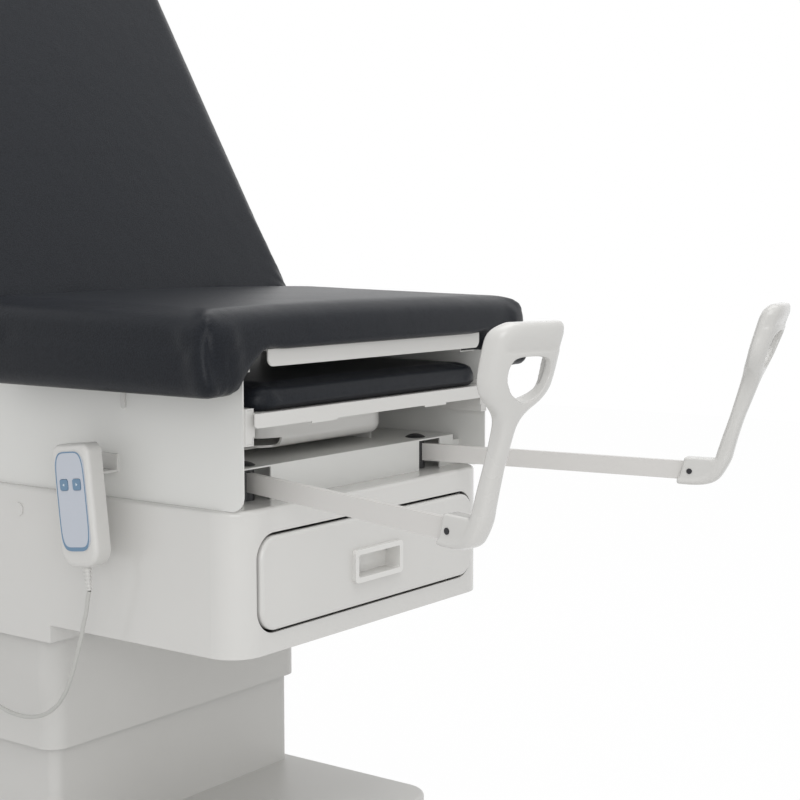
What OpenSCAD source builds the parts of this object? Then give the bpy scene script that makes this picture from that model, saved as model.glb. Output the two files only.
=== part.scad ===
/* [Base] */
// Length of the base cover, foot to head
base_len = 920; // [860:10:980]
// Width of the base cover
base_w = 520; // [500:5:560]
// Height of the base cover's top above its lower edge
base_h = 64; // [60:1:66]
// Corner radius of the base cover
base_r = 45; // [20:1:60]
// Wall of the base cover
base_wall = 4; // [2:0.5:5]
// Thickness of the steel base plate
plate_t = 10; // [8:1:12]
// Margin between the base plate and the cover's side
plate_margin = 40; // [25:1:60]
// Thickness of the rubber edge strip under the cover
strip_h = 4; // [2:0.5:6]
// Diameter of a levelling foot
foot_d = 50; // [40:1:60]
// Height of a levelling foot
foot_h = 14; // [12:1:16]
// Diameter of a levelling foot's stud
stud_d = 12; // [8:1:16]

/* [Lifting column] */
// Width of the fixed column tube
column_w = 150; // [140:1:160]
// Depth of the fixed column tube
column_d = 130; // [120:1:140]
// Wall of the column tubes
column_wall = 4; // [3:0.5:5]
// Height of the fixed column tube
column_h = 256; // [250:1:260]
// Length of the middle column tube
middle_h = 262; // [258:1:264]
// Diameter of the innermost lifting spindle
spindle_d = 16; // [14:1:18]

/* [Shrouds] */
// Wall of the two shrouds
shroud_wall = 2.5; // [2:0.5:3]
// Length of the upper shroud
shroud_len = 388; // [370:1:400]
// Height of the upper shroud
shroud_h = 203; // [198:1:206]
// Inset of the upper shroud from the main cover's side
shroud_inset = 13; // [10:1:15]
// Inset of the lower shroud from the upper one
shroud_step = 12; // [8:1:16]
// Corner radius of the upper shroud
shroud_r = 28; // [20:1:40]

/* [Main cover] */
// Width of the main cover
cover_w = 540; // [530:1:560]
// Length of the main cover
cover_len = 970; // [940:10:1000]
// Distance of the nose ahead of the lifting column
cover_front = 540; // [520:5:560]
// Height of the nose's side
cover_h = 182; // [180:1:190]
// Height of the nose's underside above the floor
cover_z = 388; // [386:1:392]
// Length of the nose, from its front to the step
nose_len = 332; // [325:1:335]
// Drop of the lower edge behind the nose
cover_step = 24; // [20:1:26]
// Radius of the cover's upright corners
cover_r = 43; // [30:1:50]
// Radius along the cover's top edge
cover_edge_r = 6; // [3:0.5:7]
// Wall of the main cover
cover_wall = 4; // [3:0.5:5]
// Diameter of the cover plugs
plug_d = 18; // [14:1:22]

/* [Chassis] */
// Height of the chassis tubes
chassis_h = 21; // [18:1:22]
// Wall of the chassis tubes
chassis_wall = 3; // [2:0.5:4]
// Width of one long chassis tube
side_tube_w = 40; // [30:1:42]
// Inset of the long chassis tubes from the cover's side
chassis_in = 30; // [25:1:31]
// Depth of the front chassis beam
front_beam_d = 48; // [44:1:56]

/* [Drawer] */
// Inset of the drawer's front from the cover's side
drawer_in = 40; // [38:1:50]
// Height of the drawer's front
drawer_h = 118; // [110:1:125]
// Height of the drawer's lower edge above the nose's underside
drawer_rise = 29; // [26:1:32]
// Corner radius of the drawer's front
drawer_r = 28; // [20:1:36]
// How far the drawer's front stands proud of the nose
drawer_proud = 5; // [3:0.5:7]
// Gap around the drawer's front
drawer_gap = 3.5; // [2:0.5:5]
// Depth of the drawer's tray
tray_len = 316; // [280:1:320]
// Wall of the drawer's tray
tray_wall = 3; // [2:0.5:4]
// Width of the drawer's handle
handle_w = 104; // [90:1:120]
// Height of the drawer's handle
handle_h = 44; // [38:1:50]

/* [Side panels] */
// Inset of a side panel from the cover's side
panel_inset = 8; // [7:0.5:10]
// Thickness of the panel sheet
panel_t = 2; // [1.5:0.5:2.5]
// Height of a side panel
panel_h = 168; // [164:1:169]
// Length of a side panel
panel_len = 940; // [900:10:960]
// Radius of a panel's lower front corner
panel_r = 20; // [10:1:30]
// Width of the flanges turned in from a panel
panel_flange = 34; // [32:1:38]

/* [Stirrups] */
// Distance of a stirrup pivot in from the outer edge of its slot
pivot_in = 27; // [25:1:29]
// Distance of the stirrup pivots behind the nose's front
pivot_back = 64; // [62:1:68]
// Height of the stirrup housing
housing_h = 44; // [40:1:46]
// Distance of the housing's face behind the nose's front
housing_back = 40; // [36:1:42]
// Depth of the stirrup housing
housing_len = 300; // [260:1:320]
// Inset of the housing from the side panel's face
housing_in = 17; // [14:1:24]
// Inset of a slot from the housing's side
slot_in = 34; // [29:1:36]
// Width of a slot
slot_w = 51; // [47:1:55]
// Outward splay of the arms as posed, in degrees
arm_splay = 14.2; // [10:0.1:18]
// Downward lean of the arms, in degrees
arm_droop = 1; // [0:0.1:1.2]
// Height of an arm bar
arm_h = 24.4; // [22:0.1:25]
// Thickness of an arm bar
arm_t = 8; // [6:0.5:9]
// Distance from pivot to heel rest screw
arm_reach = 399; // [370:1:420]
// Length of the arm bar behind the pivot
arm_tail = 40; // [30:1:50]
// Diameter of a swivel yoke
yoke_d = 26; // [25:0.5:30]
// Diameter of a pivot cap
cap_d = 30; // [26:1:34]

/* [Heel rests] */
// Height of a heel rest above its screw
heel_rise = 228; // [220:1:240]
// Width over a heel rest's paddle
heel_w = 97; // [92:1:100]
// Depth of a heel rest's paddle from front to back
heel_t = 33; // [30:1:35]
// Diameter of a heel rest's screw
heel_screw_d = 6; // [5:0.5:8]

/* [Leg rest] */
// Height of the leg rest plate's flange
leg_plate_h = 17.5; // [15:0.5:19]
// Inset of the leg rest plate from the side panel's face
leg_plate_in = 10; // [9:1:12]
// Height of the leg rest plate's underside above the cover
leg_plate_rise = 101.5; // [100:0.5:103]
// Thickness of the leg rest cushion
leg_pad_t = 31; // [28:1:36]
// Inset of the leg rest cushion from its plate's side
leg_pad_in = 12; // [11:1:20]

/* [Seat] */
// Distance the seat cushion stands beyond its plate on each side
seat_overhang = 117; // [114:1:120]
// Distance of the seat's front edge ahead of the nose
seat_ahead = 30; // [26:1:36]
// Height of the seat's top above the nose's top
seat_rise = 253; // [250:1:256]
// Thickness of the seat cushion over its board
seat_pad_t = 53; // [50:1:58]
// Depth of the skirt below the seat's top
skirt_drop = 111; // [100:1:114]
// Width of the skirt at its lower edge
skirt_w = 64; // [60:1:68]
// Radius of the seat's top edge
seat_edge_r = 33; // [26:1:36]
// Rise of the seat's crown from its sides to its middle
seat_crown = 4; // [2:0.5:6]
// Fall of the seat's top from its back end to its front
seat_fall = 10; // [4:1:14]
// Height of the seat plate
seat_plate_h = 21; // [18:1:22]
// Distance from the side panels' faces in to the seat plate's sides
seat_plate_in = 34; // [32:1:36]
// Thickness of the board under the seat cushion
board_t = 5; // [4:0.5:6]

/* [Backrest] */
// Length of the backrest cushion
back_len = 790; // [740:10:820]
// Thickness of the backrest cushion
back_pad_t = 60; // [56:2:64]
// Corner radius of the backrest cushion seen from its front
back_r = 60; // [40:5:80]
// Height of the backrest's plate
back_plate_h = 21; // [18:1:22]
// Raised angle of the backrest as posed, in degrees
back_angle = 60; // [50:1:65]
// Distance of the backrest hinge ahead of the column's middle
hinge_y = 108; // [104:1:110]
// Diameter of the hinge pins
hinge_pin_d = 12; // [10:1:14]
// Height of the gas spring's lower pin above the nose's top
spring_foot_rise = 33; // [26:1:38]
// Diameter of the gas spring's tube
spring_tube_d = 28; // [24:1:30]
// Diameter of the gas spring's rod
spring_rod_d = 12; // [8:1:14]

/* [Basin] */
// Distance of the basin's side from a stirrup pivot
basin_in = 46; // [43:1:56]
// Length of the basin
basin_len = 250; // [230:1:280]
// Depth of the basin below its rim
basin_h = 41; // [34:1:44]
// Corner radius of the basin
basin_r = 40; // [30:1:50]
// Distance of the basin's front behind the nose's front
basin_back = 75; // [60:1:80]

/* [Hand control] */
// Length of the hand control
handset_len = 155; // [140:1:160]
// Width of the hand control
handset_w = 66; // [60:1:70]
// Thickness of the hand control
handset_t = 25; // [22:1:28]
// Sideways tilt of the hand control as it hangs, in degrees
handset_tilt = 6.5; // [0:0.5:10]
// Side of one square key
key_w = 14; // [12:0.5:16]
// Diameter of the hand control's cord
cord_d = 5.5; // [5:0.5:6]

/* [Hidden] */
$fn = 48;
// Overrun of every cut past the face it cuts
cut = 1;
// Running gap between pieces that slide
gap = 0.3;
// Gap around moving soft pieces
soft_gap = 2;
// Clearance on the radius of a pin in its bore
pin_gap = 0.05;
// Sheet thickness of bent steel pieces
sheet = 2;

// Main cover and chassis levels
cover_top = cover_z + cover_h;
cover_y0 = -cover_front;
cover_y1 = cover_len - cover_front;
step_y = cover_y0 + nose_len;
skirt_z = cover_z - cover_step;
chassis_w = cover_w - 2 * chassis_in;
chassis_top = cover_top - cover_wall;
chassis_z = chassis_top - chassis_h;
cover_mid_y = (cover_y0 + cover_y1) / 2;
plug_back = 57;
plug_y = step_y + plug_back;
plug_drop = 32;
plug_stem_d = 14;
plug_lip = 1.5;

// Base levels
plate_top = foot_h + plate_t;
base_top = strip_h + base_h;
plate_len = base_len - 3 * plate_margin;
plate_w = base_w - 2 * plate_margin;
foot_x = plate_w / 2 - foot_d;
foot_y = plate_len / 2 - foot_d;
boss_d = 28;
boss_h = 16;
stud_end = plate_top + boss_h + strip_h;
foot_pad_h = 6;
post_d = 24;
post_x = base_w / 2 - base_r - post_d;
post_y = base_len / 5;
strip_t = 2;
strip_lip = 6;

// Lift drive beside the column's foot
gear_w = 40;
gear_d = 46;
gear_h = 34;
motor_d = 34;
motor_len = 110;
box_w = 90;
box_d = 150;
box_h = 32;

// Mains inlet
inlet_w = 28;
inlet_h = 20;
inlet_depth = 26;
inlet_wall = 2;
inlet_back = 8;
inlet_flange = 10;
inlet_pin_w = 2;
inlet_pin_h = 4;
inlet_pin_len = 12;
inlet_pitch = 7;
inlet_x = base_w / 4;
inlet_z = base_top - cover_edge_r - inlet_wall - inlet_h;

// Column tubes, each a sliding fit in the one outside it
middle_w = column_w - 2 * column_wall - 2 * gap;
middle_d = column_d - 2 * column_wall - 2 * gap;
inner_w = middle_w - 2 * column_wall - 2 * gap;
inner_d = middle_d - 2 * column_wall - 2 * gap;
column_top = plate_top + column_h;
middle_z = 150;
middle_top = middle_z + middle_h;
lid_t = 3;
floor_t = 4;
inner_rise = 126;
inner_z = middle_z + inner_rise;
column_r = 10;
spindle_gap = 0.5;
spindle_wall = 4.5;
spindle_mid_d = spindle_d + 2 * spindle_gap + 2 * spindle_wall;
spindle_top_d = spindle_mid_d + 2 * spindle_gap + 2 * spindle_wall;
spindle_short = 10;
spindle_end = column_top - spindle_short;
spindle_mid_short = 8;
spindle_mid_top = middle_top - spindle_mid_short;
spindle_top_rise = 4;
spindle_top_z = inner_z + spindle_top_rise;

// Shrouds
shroud_w = cover_w - 2 * shroud_inset;
lower_w = shroud_w - 2 * shroud_step;
lower_len = shroud_len - 2 * shroud_step;
lower_top = column_top;
shroud_z = middle_top - shroud_h;

// Drawer
drawer_w = cover_w - 2 * drawer_in;
drawer_z = cover_z + drawer_rise;
drawer_t = 9;
drawer_pillow = 5;
drawer_back = 4;
face_y = cover_y0 - drawer_proud;
tray_y = face_y + drawer_t;
tray_side = 27;
tray_w = drawer_w - 2 * tray_side;
tray_short = 26;
tray_h = drawer_h - tray_short;
tray_rise = 8;
tray_z = drawer_z + tray_rise;
tray_end = tray_y + tray_len;
runner_h = 8;
runner_z = tray_z + tray_h / 2;
runner_out = 9;
handle_rise = 54;
handle_z = drawer_z + handle_rise;
handle_proud = 6;
handle_rim = 7;
handle_r = 6;
handle_wall = 2;
handle_depth = 20;

// Side panels and deck
panel_x = cover_w / 2 - panel_inset;
panel_in = panel_x - panel_t;
panel_proud = 5;
panel_y0 = cover_y0 - panel_proud;
panel_y1 = panel_y0 + panel_len;
panel_top = cover_top + panel_h;
clip_w = 7.4;
clip_t = 3;
clip_back = 194;
clip_y = cover_y0 + clip_back;
clip_drop = 50;

// Leg rest plate, its rails and cushion
flange_proud = 16;
front_y = cover_y0 - flange_proud;
leg_z = cover_top + leg_plate_rise;
leg_top = leg_z + leg_plate_h;
leg_half = panel_x - leg_plate_in;
leg_end_gap = 28;
leg_y1 = -hinge_y - leg_end_gap;
rail_w = 14;
rail_h = 45;
rail_lip = 10;
rail_rise = 6;
rail_z = leg_top + rail_rise - rail_h;
rail_back = 8;
rail_y0 = front_y + rail_back;
rail_over = 8;
rail_y1 = leg_y1 + rail_over;
rail_slot = rail_h - 2 * rail_lip;
leg_slide_x = panel_in - rail_w - gap;
tab_x = 121;
tab_w = 50;
tab_h = 2.5;
leg_crown = 5;
leg_edge_r = 12;
leg_low_r = 9;
leg_plan_r = 28;
leg_pad_half = leg_half - leg_pad_in;
leg_pad_short = 14;
leg_pad_len = leg_y1 - front_y - leg_pad_short;

// Seat
seat_top = cover_top + seat_rise;
seat_y0 = cover_y0 - seat_ahead;
seat_y1 = -hinge_y - back_pad_t / 2 - soft_gap;
seat_plate_half = panel_x - seat_plate_in;
seat_half = seat_plate_half + seat_overhang;
board_inset = 10;
board_half = seat_plate_half - board_inset;
board_z = seat_top - seat_pad_t - board_t;
seat_plate_z = board_z - seat_plate_h;
seat_plate_short = 4;
seat_plate_y1 = seat_y1 - seat_plate_short;
corner_r = 10;

// Backrest, modelled lying flat and then raised about its hinge
hinge_z = seat_top - back_pad_t / 2;
back_plate_top = hinge_z - back_pad_t / 2;
back_plate_start = 22;
back_plate_y0 = -hinge_y + back_plate_start;
back_plate_short = 90;
back_plate_len = back_len - back_plate_short;
back_plate_half = seat_plate_half;
ear_x = 160;
ear_t = 8;
ear_r = 14;
lug_x = ear_x + ear_t + 2 * gap;
lug_t = 8;
beam_ahead = 12;
beam_y = -hinge_y - beam_ahead;
beam_d = 40;
beam_h = 40;
beam_drop = 8;
beam_z = panel_top - beam_h - beam_drop;
pin_r = hinge_pin_d / 2;
pocket_x = ear_x - soft_gap;
pocket_w = ear_t + lug_t + 2 * gap + 2 * soft_gap;

// Gas spring between the backrest and the deck
spring_lug_drop = 66;
spring_start = 68;
spring_foot_drop = hinge_z - cover_top - spring_foot_rise;
spring_lug_y = (spring_foot_drop - spring_lug_drop * cos(spring_start)) / sin(spring_start);
spring_r = sqrt(pow(spring_lug_y, 2) + pow(spring_lug_drop, 2));
spring_foot_a = -asin(spring_lug_drop / spring_r) - spring_start;
spring_foot_y = -hinge_y + spring_r * cos(spring_foot_a);
spring_foot_z = hinge_z + spring_r * sin(spring_foot_a);
spring_half_a = (spring_start + back_angle) / 2;
spring_len = 2 * spring_r * sin(spring_half_a);
spring_short = 2 * spring_r * sin(spring_start / 2);
spring_eye_r = 11;
spring_eye_t = 12;
spring_pin_d = 10;
spring_lost = 11;
spring_eye_wall = 6;
spring_wall = 2;
spring_tube_short = 28;
spring_tube_end = spring_short - spring_tube_short;
spring_rod_short = 20;
spring_rod_len = spring_short - spring_rod_short;
spring_neck = 14;
spring_cap = 6;
fork_t = 5;
back_edge_r = 24;
back_start_r = 12;
back_crown = 3;
back_in = 13;
back_half = seat_half - back_in;

// Stirrup housing and arms
housing_half = panel_x - housing_in;
housing_slot = housing_half - slot_in;
housing_mid = housing_slot - slot_w;
pivot_x = housing_slot - pivot_in;
housing_y = cover_y0 + housing_back;
housing_top = cover_top + housing_h;
pivot_y = cover_y0 + pivot_back;
arm_rise = 24;
arm_z = cover_top + arm_rise;
yoke_r = yoke_d / 2;
trunnion_r = 8;
cap_h = 5;
tab_top = 36;

// Heel rests
bracket_back = 22;
bracket_tail = 16;
bracket_slant = 8.5;
bracket_ahead = 33;
bracket_top = 18.3;
bracket_low = 17;
bracket_half = 11;
heel_flare = 4.5;
screw_head_d = 7.5;
screw_head_h = 1;

// Basin
basin_w = 2 * (pivot_x - basin_in);
basin_y0 = cover_y0 + basin_back;
basin_drop = 4;
basin_top = leg_z - basin_drop;
basin_z = basin_top - basin_h;
basin_wall = 3;
basin_rim = 10;
basin_rim_t = 2;
basin_floor_r = 14;
ledge_t = 2;
ledge_w = 2 * basin_floor_r;
basin_rail_x = basin_w / 2 + gap;
basin_rail_back = 35;
basin_rail_rise = 23;
basin_rail_top = basin_z + basin_rail_rise;

// Hand control, hung on the left side panel
handset_out = 51;
handset_x = panel_x + handset_out;
handset_back = 221;
handset_y = cover_y0 + handset_back;
handset_drop = 4.5;
handset_z = cover_top - handset_drop;
handset_r = 24;
handset_edge = 7;
face_t = 1.2;
face_side = 7;
face_w = handset_w - 2 * face_side;
face_end = 15;
face_len = handset_len - 2 * face_end;
face_r = 18;
face_rise = 6;
key_t = 4;
key_travel = 1;
key_r = 3;
key_gap = 0.4;
key_x = 11.5;
key_rise = 27;
key_proud = 0.8;
relief_len = 30;
relief_r0 = 5.5;
relief_r1 = 3.2;
relief_groove = 0.8;
hook_rise = 33;
hook_z = cover_top + hook_rise;
hook_w = 30;
hook_h = 23;
hook_t = 3;

// Route of the hand control's cord, from the strain relief to the cable gland
cord_points = [
    [-313, -331, 458], [-313, -328, 446], [-312, -324, 430], [-312, -318, 412], [-311, -312, 394],
    [-311, -305, 374], [-310, -297, 354], [-309, -287, 333], [-307, -273, 312], [-305, -255, 294],
    [-303, -232, 280], [-301, -204, 271], [-299, -172, 268], [-297, -140, 271], [-295, -108, 279],
    [-293, -78, 291], [-291, -50, 306], [-289, -26, 323], [-287, -6, 342], [-286, 8, 360], [-285, 12, 374],
    [-285, 12, 386]];
gland_y = 12;
gland_z = 402;
gland_out = 15;
gland_r = 9;
gland_drop = 16;
gland_bore = 7;

pale = [0.79, 0.79, 0.78];
white = [0.82, 0.82, 0.81];
black = [0.13, 0.13, 0.14];
steel = [0.62, 0.64, 0.66];

// Rounded rectangle centred on the origin
module round_rect(w, d, r) {
    square([w - 2 * r, d], center = true);
    square([w, d - 2 * r], center = true);
    for (x = [-1, 1], y = [-1, 1])
        translate([x * (w / 2 - r), y * (d / 2 - r)]) circle(r = r);
}

// Upright block with rounded corners and a softly rounded top edge
module soft_block(w, d, h, r, e) {
    linear_extrude(h - e) round_rect(w, d, r);
    linear_extrude(h) round_rect(w - 2 * e, d - 2 * e, r - e);
    translate([0, 0, h - e]) {
        for (x = [-1, 1], y = [-1, 1])
            translate([x * (w / 2 - r), y * (d / 2 - r), 0])
                rotate_extrude() {
                    translate([r - e, 0]) intersection() {
                        circle(r = e);
                        square(e);
                    }
                    square([r - e, e]);
                }
        for (x = [-1, 1])
            translate([x * (w / 2 - e), 0, 0]) rotate([90, 0, 0])
                cylinder(r = e, h = d - 2 * r, center = true);
        for (y = [-1, 1])
            translate([0, y * (d / 2 - e), 0]) rotate([0, 90, 0])
                cylinder(r = e, h = w - 2 * r, center = true);
    }
}

// Upright tube of rounded rectangular section
module shaft_tube(w, d, h, wall, r) {
    linear_extrude(h) difference() {
        round_rect(w, d, r);
        round_rect(w - 2 * wall, d - 2 * wall, max(r - wall, wall / 2));
    }
}

// Box centred in X and Y that stands on its own origin
module slab(w, d, h) {
    translate([-w / 2, -d / 2, 0]) cube([w, d, h]);
}

// Skin over a list of closed sections that all have the same number of points
module skin(sections) {
    n = len(sections[0]);
    m = len(sections);
    points = [for (s = sections, p = s) p];
    sides = [for (j = [0 : m - 2], i = [0 : n - 1], t = [0, 1])
        t == 0
            ? [j * n + i, j * n + (i + 1) % n, (j + 1) * n + i]
            : [j * n + (i + 1) % n, (j + 1) * n + (i + 1) % n, (j + 1) * n + i]];
    first = [for (i = [n - 1 : -1 : 0]) i];
    last = [for (i = [0 : n - 1]) (m - 1) * n + i];
    polyhedron(points = points, faces = concat([first], sides, [last]), convexity = 8);
}

// Distance by which a rounded edge of radius r has drawn in at depth t from its start
function draw_in(t, r) = t >= r ? 0 : r - sqrt(max(0, r * r - pow(r - t, 2)));

// Steps from 0 to 1 that crowd towards 0, for the rounded end of a cushion
end_shares = [0, 0.05, 0.2, 0.45, 0.75, 1];
// How blunt a cushion's round end is, as a share of its radius
blunt_share = 0.005;

// Cross-section of a pad: a crowned top, rounded upper edges and a flatter lower edge
function pad_section(y, half, z0, z1, top_r, low_r, crown) = let (
    r = min(top_r, (z1 - z0) / 2),
    q = min(low_r, (z1 - z0) / 2),
    right = concat(
        [for (a = [0 : 30 : 90]) [half - q + q * sin(a), z0 + q - q * cos(a)]],
        [for (a = [0 : 22.5 : 90]) [half - r + r * cos(a), z1 - r + r * sin(a)]],
        [for (s = [0.8 : -0.2 : 0.1]) [(half - r) * s, z1 + crown * (1 - s * s)]]),
    n = len(right))
    concat(
        [for (p = right) [p[0], y, p[1]]],
        [[0, y, z1 + crown]],
        [for (i = [n - 1 : -1 : 0]) [-right[i][0], y, right[i][1]]]);

// A cushion lying flat: it starts at Y = 0, is centred on X and fills Z from 0 to t. Its start has
// plan radius start_r and edge radius start_edge_r; its far end has plan_r, top_r and low_r.
module pad(w, l, t, plan_r, top_r, low_r, start_r, start_edge_r, crown) {
    lead = max(start_r, start_edge_r);
    places = concat(
        [for (s = end_shares) s * lead],
        [for (s = [1 / 5 : 1 / 5 : 4 / 5]) lead + s * (l - lead - plan_r)],
        [for (i = [len(end_shares) - 1 : -1 : 0]) l - end_shares[i] * plan_r]);
    middle = l / 2;
    skin([for (y = places) let (
        near = y < middle,
        depth = max(near ? y : l - y, blunt_share * lead),
        plan = draw_in(depth, near ? start_r : plan_r),
        rise = crown * (1 - pow((y - middle) / middle, 2)))
        pad_section(y, w / 2 - plan,
                    draw_in(depth, near ? start_edge_r : low_r),
                    t - draw_in(depth, near ? start_edge_r : top_r), top_r, low_r, rise)]);
}

// Base
module base_plate() {
    color(steel) difference() {
        union() {
            translate([0, 0, foot_h]) slab(plate_w, plate_len, plate_t);
            for (x = [-1, 1], y = [-1, 1])
                translate([x * foot_x, y * foot_y, plate_top]) cylinder(d = boss_d, h = boss_h);
        }
        for (x = [-1, 1], y = [-1, 1])
            translate([x * foot_x, y * foot_y, foot_h - cut])
                cylinder(r = stud_d / 2 + pin_gap, h = plate_t + boss_h + 2 * cut);
    }
}

module levelling_feet() {
    color(black) for (x = [-1, 1], y = [-1, 1])
        translate([x * foot_x, y * foot_y, 0]) {
            cylinder(d = foot_d, h = foot_pad_h);
            cylinder(d = boss_d, h = foot_h);
            cylinder(d = stud_d, h = stud_end);
        }
}

module base_cover() {
    color(pale) difference() {
        union() {
            difference() {
                translate([0, 0, strip_h]) soft_block(base_w, base_len, base_h, base_r, cover_edge_r);
                translate([0, 0, strip_h - cut]) linear_extrude(base_h - base_wall + cut)
                    round_rect(base_w - 2 * base_wall, base_len - 2 * base_wall, base_r - base_wall);
            }
            for (x = [-1, 1], y = [-1, 1])
                translate([x * post_x, y * post_y, plate_top])
                    cylinder(d = post_d, h = base_top - base_wall - plate_top);
        }
        translate([0, 0, strip_h]) linear_extrude(base_h + cut)
            round_rect(column_w + 2 * gap, column_d + 2 * gap, column_r);
        translate([inlet_x - inlet_w / 2, base_len / 2 - base_wall - cut, inlet_z])
            cube([inlet_w, base_wall + 2 * cut, inlet_h]);
    }
}

// Rubber strip round the cover's lower edge, whose sole is the part's seat on the floor
module base_edge_strip() {
    color(black) {
        linear_extrude(strip_h) difference() {
            round_rect(base_w + 2 * strip_t, base_len + 2 * strip_t, base_r + strip_t);
            round_rect(base_w - 2 * base_wall, base_len - 2 * base_wall, base_r - base_wall);
        }
        linear_extrude(strip_h + strip_lip) difference() {
            round_rect(base_w + 2 * strip_t, base_len + 2 * strip_t, base_r + strip_t);
            round_rect(base_w, base_len, base_r);
        }
    }
}

module lower_shroud() {
    color(pale) translate([0, 0, base_top])
        shaft_tube(lower_w, lower_len, lower_top - base_top, shroud_wall, shroud_r - shroud_step);
}

module column_outer() {
    color(steel) translate([0, 0, plate_top])
        shaft_tube(column_w, column_d, column_h, column_wall, column_r);
}

module lift_motor() {
    color(steel) {
        translate([column_w / 2, -gear_d / 2, plate_top]) cube([gear_w, gear_d, gear_h]);
        translate([column_w / 2 + gear_w, 0, plate_top + gear_h / 2]) rotate([0, 90, 0])
            cylinder(d = gear_h, h = motor_len - gear_w);
    }
}

module spindle_lower() {
    color(steel) translate([0, 0, plate_top]) cylinder(d = spindle_d, h = spindle_end - plate_top);
}

module control_box() {
    color(black) translate([-column_w / 2 - box_w, 0, plate_top]) slab(box_w, box_d, box_h);
}

module mains_inlet() {
    color(black) translate([inlet_x - inlet_w / 2, base_len / 2 - inlet_depth, inlet_z]) {
        difference() {
            union() {
                cube([inlet_w, inlet_depth, inlet_h]);
                translate([-inlet_flange, inlet_depth, -inlet_wall])
                    cube([inlet_w + 2 * inlet_flange, inlet_wall, inlet_h + 2 * inlet_wall]);
            }
            translate([inlet_wall, inlet_back, inlet_wall])
                cube([inlet_w - 2 * inlet_wall, inlet_depth + cut, inlet_h - 2 * inlet_wall]);
        }
        for (i = [-1 : 1])
            translate([inlet_w / 2 + i * inlet_pitch - inlet_pin_w / 2, inlet_back,
                       inlet_h / 2 - inlet_pin_h / 2 + (i == 0 ? inlet_pin_h / 2 : -inlet_pin_h / 2)])
                cube([inlet_pin_w, inlet_pin_len, inlet_pin_h]);
    }
}

// Middle stage of the lift
module column_middle() {
    color(steel) translate([0, 0, middle_z]) {
        shaft_tube(middle_w, middle_d, middle_h, column_wall, column_r - column_wall - gap);
        difference() {
            linear_extrude(floor_t)
                round_rect(middle_w - column_wall, middle_d - column_wall, column_wall);
            translate([0, 0, -cut]) cylinder(r = spindle_d / 2 + spindle_gap, h = floor_t + 2 * cut);
        }
    }
}

module upper_shroud() {
    color(pale) translate([0, 0, shroud_z]) {
        shaft_tube(shroud_w, shroud_len, shroud_h, shroud_wall, shroud_r);
        translate([0, 0, shroud_h - lid_t]) linear_extrude(lid_t) difference() {
            round_rect(shroud_w - shroud_wall, shroud_len - shroud_wall, shroud_r - shroud_wall / 2);
            round_rect(middle_w, middle_d, column_r - column_wall - gap);
        }
    }
}

module spindle_middle() {
    color(steel) translate([0, 0, middle_z + floor_t]) difference() {
        cylinder(d = spindle_mid_d, h = spindle_mid_top - middle_z - floor_t);
        translate([0, 0, -cut])
            cylinder(r = spindle_d / 2 + spindle_gap, h = spindle_mid_top - middle_z + 2 * cut);
    }
}

// Lifting body: column head, chassis and main cover
module column_inner() {
    color(steel) translate([0, 0, inner_z])
        shaft_tube(inner_w, inner_d, chassis_z - inner_z, column_wall, column_wall);
}

module spindle_upper() {
    color(steel) translate([0, 0, spindle_top_z]) difference() {
        cylinder(d = spindle_top_d, h = chassis_z - spindle_top_z);
        translate([0, 0, -cut])
            cylinder(r = spindle_mid_d / 2 + spindle_gap, h = chassis_z - spindle_top_z - spindle_wall);
    }
}

side_tube_x = chassis_w / 2 - side_tube_w;
tube_y0 = cover_y0 + housing_back;
tube_y1 = cover_y1 - side_tube_w;

module chassis_side_tubes() {
    color(steel) for (x = [-1, 1])
        translate([x * (side_tube_x + side_tube_w / 2), (tube_y0 + tube_y1) / 2, chassis_z])
            difference() {
                slab(side_tube_w, tube_y1 - tube_y0, chassis_h);
                translate([0, 0, chassis_wall])
                    slab(side_tube_w - 2 * chassis_wall, tube_y1 - tube_y0 + 2 * cut,
                         chassis_h - 2 * chassis_wall);
            }
}

module chassis_cross_beams() {
    color(steel) translate([0, 0, chassis_z]) {
        difference() {
            translate([0, pivot_y, 0]) slab(2 * side_tube_x, front_beam_d, chassis_h);
            for (x = [-1, 1])
                translate([x * pivot_x, pivot_y, -cut])
                    cylinder(r = trunnion_r + gap, h = chassis_h + 2 * cut);
        }
        difference() {
            slab(2 * side_tube_x, column_d + side_tube_w, chassis_h);
            translate([0, 0, chassis_wall])
                slab(2 * side_tube_x + 2 * cut, column_d + side_tube_w - 2 * chassis_wall,
                     chassis_h - 2 * chassis_wall);
        }
        translate([0, tube_y1 - front_beam_d / 2, 0]) slab(2 * side_tube_x, front_beam_d, chassis_h);
    }
}

// Outline of the cover's plan, shrunk by s
module cover_plan(s) {
    translate([0, cover_mid_y]) round_rect(cover_w - 2 * s, cover_len - 2 * s, cover_r - s);
}

// Half plane behind the step, shrunk by s
module behind_step(s) {
    translate([-cover_w, step_y + s]) square([2 * cover_w, cover_len]);
}

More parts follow.
